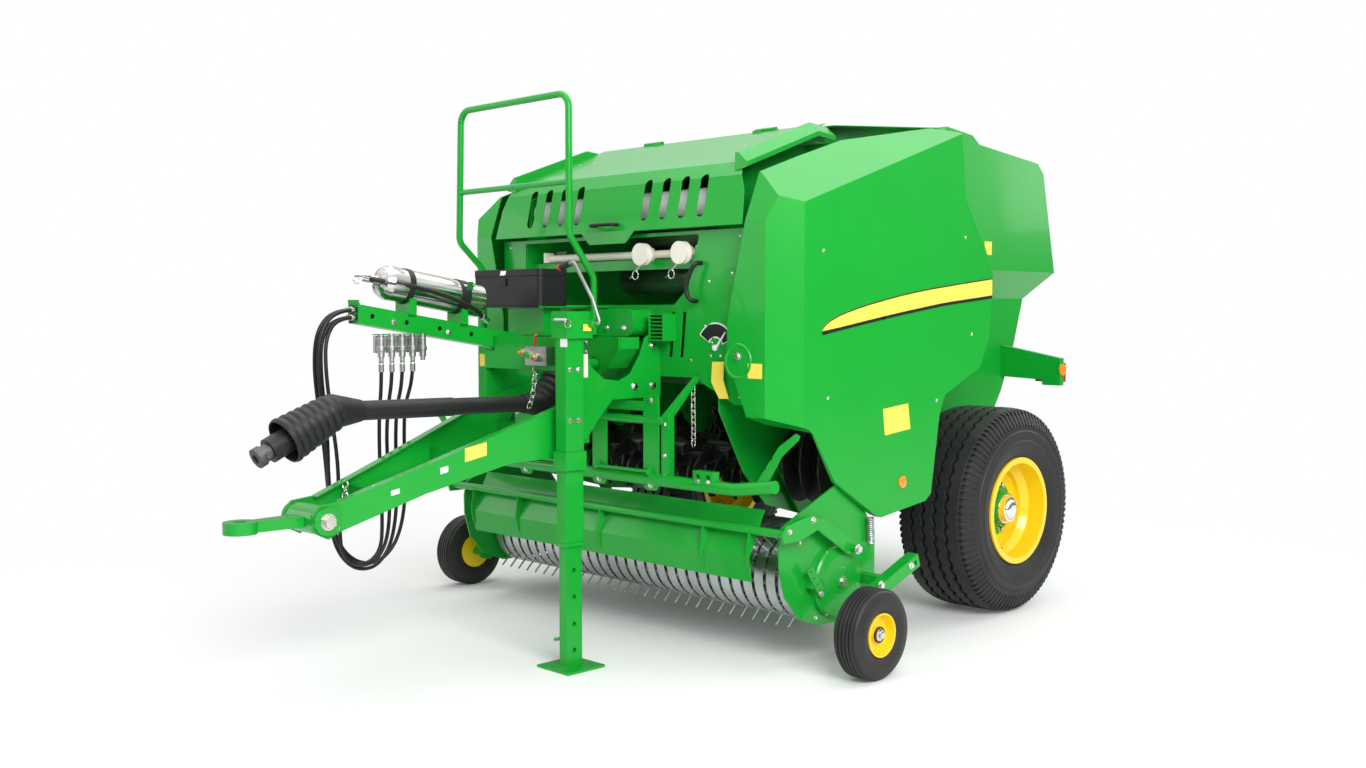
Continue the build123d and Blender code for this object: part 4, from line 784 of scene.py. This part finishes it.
def addMainWheel(side, sign):
    body = "wheel_" + side
    x = sign * wheel["x"]
    carcass = addPiece("tyre_carcass_" + side, "tyre_rubber", body, [mainCarcass(x)])
    segment = shapeMesh("tread_" + side, treadSegment(x))
    centre = at(0, 0, wheel["z"])
    segment.transform(Matrix.Translation(-centre))
    ribs = growPiece("tyre_tread_" + side, "around", segment, {"Count": tread["segments"]}, "tyre_rubber",
                     body,
                     Matrix.Translation(centre))
    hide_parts("tyre_" + side)
    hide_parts("tyre_" + side)
    face = sign * wheel["face"]
    start = (face, 0, wheel["z"])
    out = (face + sign, 0, wheel["z"])
    addPiece("hub_flange_" + side, "green_paint", body, [lathe(start, out, hub["flange"], 40)])
    addPiece("hub_cap_" + side, "chrome_rod", body,
             [lathe(start, out, hub["cap"], 32), lathe(start, out, hub["ring"], 32)])
    rows = []
    for k in range(hub["bolts"]):
        turn = math.radians(360 / hub["bolts"] * k + hub["firstBolt"])
        rows.append((face + sign * hub["boltSeat"], hub["boltCircle"] * math.cos(turn),
                     wheel["z"] + hub["boltCircle"] * math.sin(turn), (sign, 0, 0), hub["boltSize"]))
    growPiece("hub_bolts_" + side, "fasteners", pointMesh("hub_bolts", rows), {"Height": hub["boltHeight"]},
              "zinc_bolt", body)
    valve = hub["valve"]
    foot, tip = [(sign * a, 0, b) for a, b in zip(valve["x"], valve["z"])]
    addPiece("tyre_valve_" + side, "black_plastic", body, [rodShape(foot, tip, valve["radius"], 12)])


# Gauge wheels of the pick-up, with five low ribs round the tyre.
gauge = {
    "x": 1222, "y": -1336, "z": 168, "steps": 64, "hubOut": 38,
    "flank": [(46, 81), (54, 96), (59, 112), (58, 126), (55, 140), (50, 155), (42, 161)],
    "ribs": (-32, -16, 0, 16, 32), "rib": ((-6, 160), (-5, 166.5), (5, 166.5), (6, 160)),
    "nut": [(0, 24), (4, 24), (6, 15), (14, 15), (15, 12), (15, 0)],
    "ring": [(-4, 30), (2, 30), (2, 24)],
}


def addGaugeWheel(side, sign):
    body = "gauge_wheel_" + side
    x = sign * gauge["x"]
    rows = [(-away, radius) for away, radius in gauge["flank"]]
    rows += [(centre + away, radius) for centre in gauge["ribs"] for away, radius in gauge["rib"]]
    rows += list(reversed(gauge["flank"]))
    middle = (x, gauge["y"], gauge["z"])
    tyre = addPiece("gauge_tread_" + side, "tyre_rubber", body,
                    [lathe(middle, (x + 1, gauge["y"], gauge["z"]), rows, gauge["steps"])])
    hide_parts("gauge_tyre_" + side)
    face = (x + sign * gauge["hubOut"], gauge["y"], gauge["z"])
    out = (face[0] + sign, gauge["y"], gauge["z"])
    addPiece("gauge_hub_" + side, "chrome_rod", body, [lathe(face, out, gauge["nut"], 6)])
    addPiece("gauge_hub_ring_" + side, "black_paint", body, [lathe(face, out, gauge["ring"], 32)])


for addWheel in (addMainWheel, addGaugeWheel):
    for side, sign in sides.items():
        addWheel(side, sign)
print("wheels dressed")

# Side shields: stripe, blank sign, reflector, screws, boss and lock.
# Outlines are (y, z) on the left shield's face.
shieldFace = {"x": 980, "slope": 0.0661, "y": -1430}
shield = {
    "upper": [(-1338, 1262), (-1328, 1279), (-1299, 1299), (-1251, 1319), (-1183, 1339), (-1083, 1362),
              (-926, 1393), (-760, 1420), (-588, 1441), (-408, 1462), (-284, 1476)],
    "lower": [(-283, 1404), (-408, 1391), (-587, 1374), (-759, 1350), (-925, 1326), (-1083, 1301),
              (-1235, 1276)],
    "tip": (-1334, 1259), "film": 0.4, "thick": 0.8, "edging": 13, "fineEdging": 5, "fineFilm": 1.3,
    "fineThick": 0.4,
    "sign": [(-985, 955), (-833, 971), (-818, 868), (-973, 851)],
    "reflectorAt": (-865, 659), "reflector": [(0, 24), (5, 24), (8, 18), (8, 0)],
    "screws": ((-650, 974), (-1300, 1010), (-420, 1240), (-1330, 1560), (-470, 1640)), "screwSize": 7,
    "bossAt": (741, -1530, 1147), "boss": [(0, 70), (4, 66), (4, 60), (1, 56), (1, 0)],
    "lock": (741, -1531, 1166), "lockSize": 12,
    "frontSign": [(792, 1086), (862, 1086), (862, 1142), (792, 1142)], "frontSignY": (-1531.2, -1530.1),
}


def shieldPoint(y, z, lift=0):
    return (shieldFace["x"] + shieldFace["slope"] * (y - shieldFace["y"]) + lift, y, z)


def onShield(outline, lift=shield["film"], thick=shield["thick"]):
    return slab([shieldPoint(y, z, lift) for y, z in outline], (thick, 0, 0))


def strips(line, drop):
    # quads that hang from a line of places, each as deep as the drop
    lower = [(y, z - drop) for y, z in line]
    return [[line[i], line[i + 1], lower[i + 1], lower[i]] for i in range(len(line) - 1)]


upperLine = roundLine([Vector(p) for p in shield["upper"]])
lowerLine = roundLine([Vector(p) for p in shield["lower"]])
edgingLine = roundLine([Vector(p) for p in [shield["tip"], *shield["lower"][::-1]]])
shieldTrims = {
    "yellow_film": [onShield([*upperLine, *lowerLine]), onShield(shield["sign"])],
    "black_film": [onShield(q) for q in strips(edgingLine, shield["edging"])],
}
for q in strips(upperLine, shield["fineEdging"]):
    shieldTrims["black_film"].append(onShield(q, shield["fineFilm"], shield["fineThick"]))


def addShieldParts(side, sign):
    body = "shield_" + side
    place = shield["reflectorAt"]
    lens = lathe(shieldPoint(*place), shieldPoint(*place, 10), shield["reflector"], 28)
    addPiece("shield_reflector_" + side, "lamp_plastic", body, handed([lens], sign))
    rows = [(*shieldPoint(y, z), toLeft, shield["screwSize"]) for y, z in shield["screws"]]
    rows = handedRows(rows, sign)
    growPiece("shield_screws_" + side, "fasteners", pointMesh("shield_screws", rows), {"Domed": True},
              "zinc_bolt", body)
    x, y, z = shield["bossAt"]
    addPiece("shield_boss_" + side, "green_paint", body,
             handed([lathe((x, y, z), (x, y - 30, z), shield["boss"], 40)], sign))
    rows = handedRows([(*shield["lock"], toFront, shield["lockSize"])], sign)
    growPiece("shield_lock_" + side, "fasteners", pointMesh("shield_lock", rows), {}, "zinc_bolt", body)
    addPiece("shield_sign_" + side, "yellow_film", body,
             handed([prism("y", shield["frontSign"], *shield["frontSignY"])], sign))


for finish, shapes in shieldTrims.items():
    for side, sign in sides.items():
        addPiece("shield_trim_" + side + "_" + finish, finish, "shield_" + side, handed(shapes, sign))
for side, sign in sides.items():
    addShieldParts(side, sign)

# Small plates, tabs and rails, each a box of (x, x, y, y, z, z).
plates = {
    "panel_plate_blank": ("black_film", "root", (-412, -346, -1446, -1444, 1552, 1596)),
    "jack_plate_blank": ("white_film", "root", (326, 364, -2046.2, -2044.1, 1204, 1241)),
    "cheek_plate_blank": ("cream_paint", "root", (270.2, 271.4, -1908, -1863, 1083, 1173)),
    "jack_collar_label": ("yellow_film", "root", (374, 375.2, -1975, -1935, 1262, 1288)),
    "toolbox_catch": ("black_plastic", "root", (-274, -246, -1857, -1850.2, 1440, 1470)),
    "toolbox_feet": ("rubber_hose", "root", (-470, -40, -1853, -1850.1, 1350, 1358)),
    "coupler_rail": ("green_paint", "root", (-214.6, -203.4, -2502, -2271, 1247, 1251)),
    "gate_tab": ("yellow_film", "tailgate", (720.2, 722, 190, 250, 1600, 1662)),
}


def addPlate(name):
    finish, body, box = plates[name]
    addPiece(name, finish, body, [block(*box)])


# Front panel: the pressure gauge's sector and pointer, a bent blank plate, a grab handle and rivets.
panelY = -1475
dial = {"centre": (575, 1195), "steps": 14, "edge": (38, 98), "edgeTurn": (20, 150), "edgeY": (2.2, 0.6),
        "field": (44, 92), "fieldTurn": (23, 147), "fieldY": (3.2, 2.3)}
pointer = {"blade": [(570, 1188), (630, 1258), (634, 1255), (580, 1184)], "bladeY": (8, 5),
           "knob": [(0, 12), (8, 12), (10, 8), (10, 0)]}
bentPlate = {"upper": [(569, 1141), (632, 1143), (627, 1074), (564, 1063)],
             "lower": [(564, 1063), (627, 1074), (655, 1002), (605, 1000)], "y": (14, 12)}
grab = {"path": [(498, 2, 1523), (498, 36, 1523), (476, 40, 1490), (453, 40, 1440), (456, 40, 1400),
                 (475, 36, 1376), (475, 2, 1376)], "radius": 9}


def sector(radii, turns, depth):
    # part of a flat ring about the dial's centre, in front of the panel
    steps = dial["steps"]
    inner, outer = radii
    first, last = turns
    points = []
    for radius, ways in ((outer, range(steps + 1)), (inner, range(steps, -1, -1))):
        for k in ways:
            turn = math.radians(first + (last - first) * k / steps)
            points.append((dial["centre"][0] + radius * math.cos(turn),
                           dial["centre"][1] + radius * math.sin(turn)))
    low, high = (panelY - d for d in depth)
    shapes = []
    for k in range(steps):
        shapes.append(prism("y", [points[k], points[k + 1], points[-2 - k], points[-1 - k]], low, high))
    return shapes


addPiece("gauge_sector_edge", "white_film", "root", sector(dial["edge"], dial["edgeTurn"], dial["edgeY"]))
addPiece("gauge_sector", "black_film", "root", sector(dial["field"], dial["fieldTurn"], dial["fieldY"]))
knobX, knobZ = dial["centre"]
addPiece("gauge_pointer", "white_film", "root",
         [prism("y", pointer["blade"], *[panelY - d for d in pointer["bladeY"]]),
          lathe((knobX, panelY - 1, knobZ), (knobX, panelY - 20, knobZ), pointer["knob"], 20)])
plateY = [panelY - d for d in bentPlate["y"]]
addPiece("warning_plate_blank", "yellow_film", "root",
         [prism("y", bentPlate["upper"], *plateY), prism("y", bentPlate["lower"], *plateY),
          block(590, 606, panelY - 12, panelY - 0.5, 1090, 1110)])
addPiece("panel_handle", "black_plastic", "root",
         [sweepShape([(x, panelY - d, z) for x, d, z in grab["path"]], grab["radius"], 12)])
addPlate("panel_plate_blank")
panelRivets = {"size": 6.5, "places": (
    (440, 1143), (538, 1451), (554, 1213), (606, 1216), (547, 1162), (598, 1163), (517, 1278), (700, 1620),
    (700, 1300), (700, 1010), (-700, 1620), (-700, 1300), (-700, 1010), (-640, 1150), (-640, 1480),
    (660, 1480), (-520, 1120), (-440, 1120))}
rows = [(x, panelY, z, toFront, panelRivets["size"]) for x, z in panelRivets["places"]]
growPiece("panel_rivets", "fasteners", pointMesh("panel_rivets", rows), {"Domed": True}, "zinc_bolt",
          "root")

# Bolts and rivets, as rows of (x, y, z, the way they face, size).
# Those of the frame's one side are on the other too.
gearboxBolts = [(x, -1586, 1268, toFront, 9) for x in (71, 173, -90, -150)]
bowlBolts = [(sign * 60, -1690, z, toFront, 8) for z in (1172, 1210) for sign in (-1, 1)]
cheekPlaces = ((-1920, 1150), (-1920, 1010), (-1920, 840), (-1620, 1040), (-1520, 1040), (-1520, 1200))
cheekBolts = [(270, y, z, toLeft, 11) for y, z in cheekPlaces]
hitchBolts = [(116, -2889, 625, toLeft, 22), (100, -2850, 640, toLeft, 10), (100, -2850, 602, toLeft, 10)]
uprightBolts = [(x, -1642, z, toFront, 9) for x in (86, 386) for z in (660, 990)]
lugBolts = [(x, -1654, 700, toFront, 8) for x in (652, 704)]
postBolts = [(455, -1634, z, toFront, 7) for z in (700, 780, 900)]
wallBolts = [(593, y, 700, toLeft, 9) for y in (-215, -300)]
oneSide = cheekBolts + hitchBolts + uprightBolts + lugBolts + postBolts + wallBolts
rows = gearboxBolts + bowlBolts + handedRows(oneSide, -1) + handedRows(oneSide, 1)
growPiece("frame_bolts", "fasteners", pointMesh("frame_bolts", rows), {"Height": 0.8}, "zinc_bolt", "root")
roofWay = (0, -0.35, 0.94)
rows = [(x, -1005, 2068, roofWay, 6) for x in (-620, -360, -120, 120, 360, 620)]
rows += [(x, -1180, 2004, roofWay, 6) for x in (-560, -460, 460, 560)]
growPiece("hood_rivets", "fasteners", pointMesh("hood_rivets", rows), {"Domed": True}, "zinc_bolt", "hood")
hoodHandle = [(-74, -1517, 1690), (-74, -1550, 1690), (-40, -1556, 1690), (30, -1556, 1690),
              (62, -1550, 1690), (62, -1517, 1690)]
addPiece("hood_handle", "black_plastic", "hood", [sweepShape(hoodHandle, 8, 12)])
addPiece("net_roll", "net_wrap", "root", [rodShape((-560, -1400, 1770), (560, -1400, 1770), 52, 40)])
print("signs and bolts on")

# Fire bottle: straps and labels round it, its hose, valve and nozzle.
bottle = {
    "front": Vector((-250, -2460, 1450)), "rear": Vector((-250, -1990, 1376)),
    "straps": ((350, 69, 44), (110, 68.4, 24)),     # (distance from the front, outer radius, width)
    "strapInner": 66.4,
    "labels": ((190, 120, (200, 320)), (60, 36, (215, 300))),     # (distance from the front, width, turn)
    "labelRadii": (66.3, 66.8),
    "hose": [(-250, -2486, 1452), (-232, -2492, 1456), (-216, -2460, 1450), (-200, -2400, 1440),
             (-181, -2348, 1432), (-178, -2209, 1400), (-180, -2110, 1368), (-196, -2040, 1340),
             (-205, -2000, 1312)],
    "hoseRadius": 9,
}
lie = (bottle["rear"] - bottle["front"]).normalized()
shapes = []
for away, radius, width in bottle["straps"]:
    inner = bottle["strapInner"]
    shapes.append(lathe(bottle["front"] + lie * away, bottle["rear"],
                        [(0, inner), (0, radius), (width, radius), (width, inner)], 48))
addPiece("bottle_straps", "black_plastic", "root", shapes)
addPiece("bottle_clamp", "chrome_rod", "root",
         [block(-206, -186, -2090, -2060, 1420, 1452),
          rodShape((-196, -2100, 1436), (-196, -2050, 1436), 6, 12)])
shapes = []
inner, outer = bottle["labelRadii"]
for away, width, arc in bottle["labels"]:
    shapes.append(lathe(bottle["front"] + lie * away, bottle["rear"],
                        [(0, inner), (0, outer), (width, outer), (width, inner)], 40, arc))
addPiece("bottle_labels", "white_film", "root", shapes)
addPiece("bottle_hose", "black_plastic", "root", [sweepShape(bottle["hose"], bottle["hoseRadius"], 14)])
addPiece("bottle_valve", "chrome_rod", "root",
         [rodShape((-250, -2478, 1453), (-250, -2525, 1460), 13, 20),
          block(-262, -238, -2560, -2490, 1464, 1469),
          rodShape((-205, -2006, 1316), (-209, -1975, 1296), 12, 16),
          ringShape((-250, -2545, 1452), (1, 0, 0), 13, 2)])
holderPlaces = ((-2407, 1293), (-2158, 1254))
rows = [(-250 + sign * 35, y, z, (sign, 0, 0), 9) for sign in (1, -1) for y, z in holderPlaces]
growPiece("holder_bolts", "fasteners", pointMesh("holder_bolts", rows), {}, "zinc_bolt", "root")

# Jack and toolbox.
addPiece("jack_pin", "zinc_bolt", "root",
         [rodShape((305, -2051, 1304), (372, -2051, 1304), 7, 16),
          ringShape((376, -2051, 1290), (1, 0, 0), 15, 1.8)])
for name in ("jack_plate_blank", "cheek_plate_blank", "jack_collar_label"):
    addPlate(name)
addPiece("crank_grip", "black_plastic", "root",
         [rodShape((262, -1940, 1517), (206, -1940, 1502.5), 12.5, 20)])
addPiece("crank_tip", "red_paint", "root", [rodShape((207, -1940, 1503), (198, -1940, 1500.6), 12.8, 20)])
rows = [(354, y, z, toLeft, 8) for z in (1120, 930) for y in (-2020, -1980)]
growPiece("jack_bolts", "fasteners", pointMesh("jack_bolts", rows), {}, "zinc_bolt", "root")
addPiece("toolbox_latch", "zinc_bolt", "toolbox_lid",
         [block(-278, -242, -1856, -1852.2, 1482, 1500),
          rodShape((-276, -1858, 1484), (-244, -1858, 1484), 4, 12)])
addPlate("toolbox_catch")
addPlate("toolbox_feet")

# Drawbar: blank signs on both outer faces. Outlines are (y, z) on the left plate.
barFace = {"x": 100, "y": -2830, "spread": 162 / 885, "lift": 0.4, "thick": 0.8}
barSign = [(-2375, 792), (-2290, 812), (-2290, 860), (-2375, 842)]
barMarks = ([(-2470, 755), (-2440, 762), (-2440, 784), (-2470, 777)],
            [(-2653, 692), (-2622, 699), (-2622, 717), (-2653, 710)])


def onBar(outline):
    points = []
    for y, z in outline:
        points.append((barFace["x"] + barFace["spread"] * (y - barFace["y"]) + barFace["lift"], y, z))
    return slab(points, (barFace["thick"], 0, 0))


for side, sign in sides.items():
    addPiece("bar_sign_" + side, "yellow_film", "root", handed([onBar(barSign)], sign))
    addPiece("bar_marks_" + side, "white_film", "root", handed([onBar(mark) for mark in barMarks], sign))

# Valve block and couplers.
valve = {"face": -2019, "knobs": ((66, 1178, 12), (140, 1160, 13)),
         "dial": [(0, 13), (8, 13), (10, 8), (10, 0)],
         "lever": [(90, -1975, 1200), (90, -1975, 1226), (110, -1985, 1246)]}
shapes = []
for x, z, radius in valve["knobs"]:
    rows = [(0, radius), (6, radius), (8, radius - 4), (18, radius - 4), (20, 0)]
    shapes.append(lathe((x, valve["face"], z), (x, valve["face"] - 41, z), rows, 8))
addPiece("valve_knobs", "brass", "root", shapes)
addPiece("valve_dial", "green_paint", "root",
         [lathe((104, valve["face"], 1168), (104, valve["face"] - 41, 1168), valve["dial"], 24)])
addPiece("valve_lever", "red_paint", "root", [sweepShape(valve["lever"], 5, 10)])
addPlate("coupler_rail")
couplers = {"first": (-192, -2480, 1188), "pitch": 46, "ring": [(0, 13.2), (0, 15.5), (8, 15.5), (8, 13.2)],
            "finishes": ("red_paint", "red_paint", "yellow_paint", "yellow_paint", "black_plastic")}
x, y, z = couplers["first"]
for k, finish in enumerate(couplers["finishes"]):
    spot = y + couplers["pitch"] * k
    ring = lathe((x, spot, z), (x, spot, z + 1), couplers["ring"], 24)
    addPiece("coupler_ring_" + str(k), finish, "root", [ring])

# Pick-up: bolts on its links, end plates and arms, a blank sign and the lift spring on each side.
guardRows = [(1049, -1191, 435, toLeft, 14), (1024, -1428, 570, toLeft, 9), (1024, -1562, 540, toLeft, 8)]
armRows = [(1110, -1128, 296, toLeft, 13), (1110, -930, 345, toLeft, 10), (1095, -1215, 236, toLeft, 9)]
endRows = [(1006, -1357, 282, toLeft, 9), (968, -1343, 184, toLeft, 6), (968, -1440, 480, toLeft, 7),
           (968, -1300, 540, toLeft, 7), (968, -1060, 300, toLeft, 7), (1008, -1230, 310, toLeft, 15)]
cover = {"x": 984, "y": -1230, "z": 310, "radius": 134, "bolts": 6, "size": 5}
for k in range(cover["bolts"]):
    turn = math.radians(360 / cover["bolts"] * k)
    endRows.append((cover["x"], cover["y"] + cover["radius"] * math.cos(turn),
                    cover["z"] + cover["radius"] * math.sin(turn), toLeft, cover["size"]))
pickupSign = (968.3, 969.3, -1300, -1220, 205, 235)
spring = {"Turns": 13.0, "Radius": 0.013, "Length": 0.10, "Wire": 0.003}
springEnds = ((988, -1028, 432), (988, -1034, 532))
pickupBolts = {"guard_bolts_": (guardRows, "wind_guard"), "pickup_bolts_": (endRows, "pickup"),
               "arm_bolts_": (armRows, "pickup")}


def addPickupSide(side, sign):
    for name, (rows, body) in pickupBolts.items():
        mesh = pointMesh(name + side, handedRows(rows, sign))
        growPiece(name + side, "fasteners", mesh, {}, "zinc_bolt", body)
    addPiece("pickup_sign_" + side, "cream_paint", "pickup", handed([block(*pickupSign)], sign))
    low, high = [(sign * x, y, z) for x, y, z in springEnds]
    growPiece("lift_spring_" + side, "spring", bpy.data.meshes.new("coil"), spring, "galvanised", "pickup",
              placeAlong(low, high))


for side, sign in sides.items():
    addPickupSide(side, sign)

# Chains, with the sizes of their links in metres, and the paths that they hang along.
links = {"Pitch": 0.021, "Length": 0.031, "Width": 0.020, "Wire": 0.0028}
chains = {
    "shaft_chain": [(60, -1949, 1112), (62, -1956, 1060), (58, -1960, 1010), (40, -1962, 972)],
    "hitch_chain": [(-90, -2700, 716), (-60, -2720, 640), (0, -2725, 604), (60, -2720, 640),
                    (90, -2700, 716)],
    "guard_chain": [(478, -1500, 1046), (480, -1502, 960), (482, -1502, 900), (482, -1502, 822)],
}
for name, path in chains.items():
    growPiece(name, "chain", lineMesh(name, path), links, "zinc_bolt", "root")

# Power shaft's front yoke, and the twine clips.
yokeRows = [(-2, 30), (26, 30), (28, 36), (52, 36), (54, 28), (54, 17), (30, 17), (30, 0)]
addPiece("shaft_yoke", "cast_metal", "root",
         [lathe((0, -3040, 868), (0, -3060, 858), yokeRows, 28),
          rodShape((-44, -3062, 857), (44, -3062, 857), 10, 16)])
clip = {"y": -1492, "ring": (17, 3), "wire": 3.5}
shapes = []
for x in (141, 349):
    shapes.append(ringShape((x, clip["y"], 1482), (0, 1, 0), *clip["ring"]))
    shapes.append(rodShape((x, clip["y"], 1498), (x + 34, -1484, 1530), clip["wire"], 10))
    shapes.append(rodShape((x - 16, clip["y"], 1476), (x - 40, -1486, 1470), clip["wire"], 10))
addPiece("twine_clips", "chrome_rod", "root", shapes)

# Tailgate rivets and the pins of its cylinders.
rows = [(x, 780, 1782, (0, 0.97, 0.23), 7) for x in (-700, -500, -250, 250, 500, 700)]
growPiece("gate_rivets", "fasteners", pointMesh("gate_rivets", rows), {"Domed": True}, "zinc_bolt",
          "tailgate")
addPlate("gate_tab")
addPiece("gate_tab_right", "yellow_film", "tailgate", mirrorShapes([block(*plates["gate_tab"][2])]))
for side, sign in sides.items():
    rows = handedRows([(679, -750, 1100, toLeft, 13)], sign)
    growPiece("cylinder_pins_" + side, "fasteners", pointMesh("cylinder_pins", rows), {}, "zinc_bolt",
              "root")
print("all pieces on")
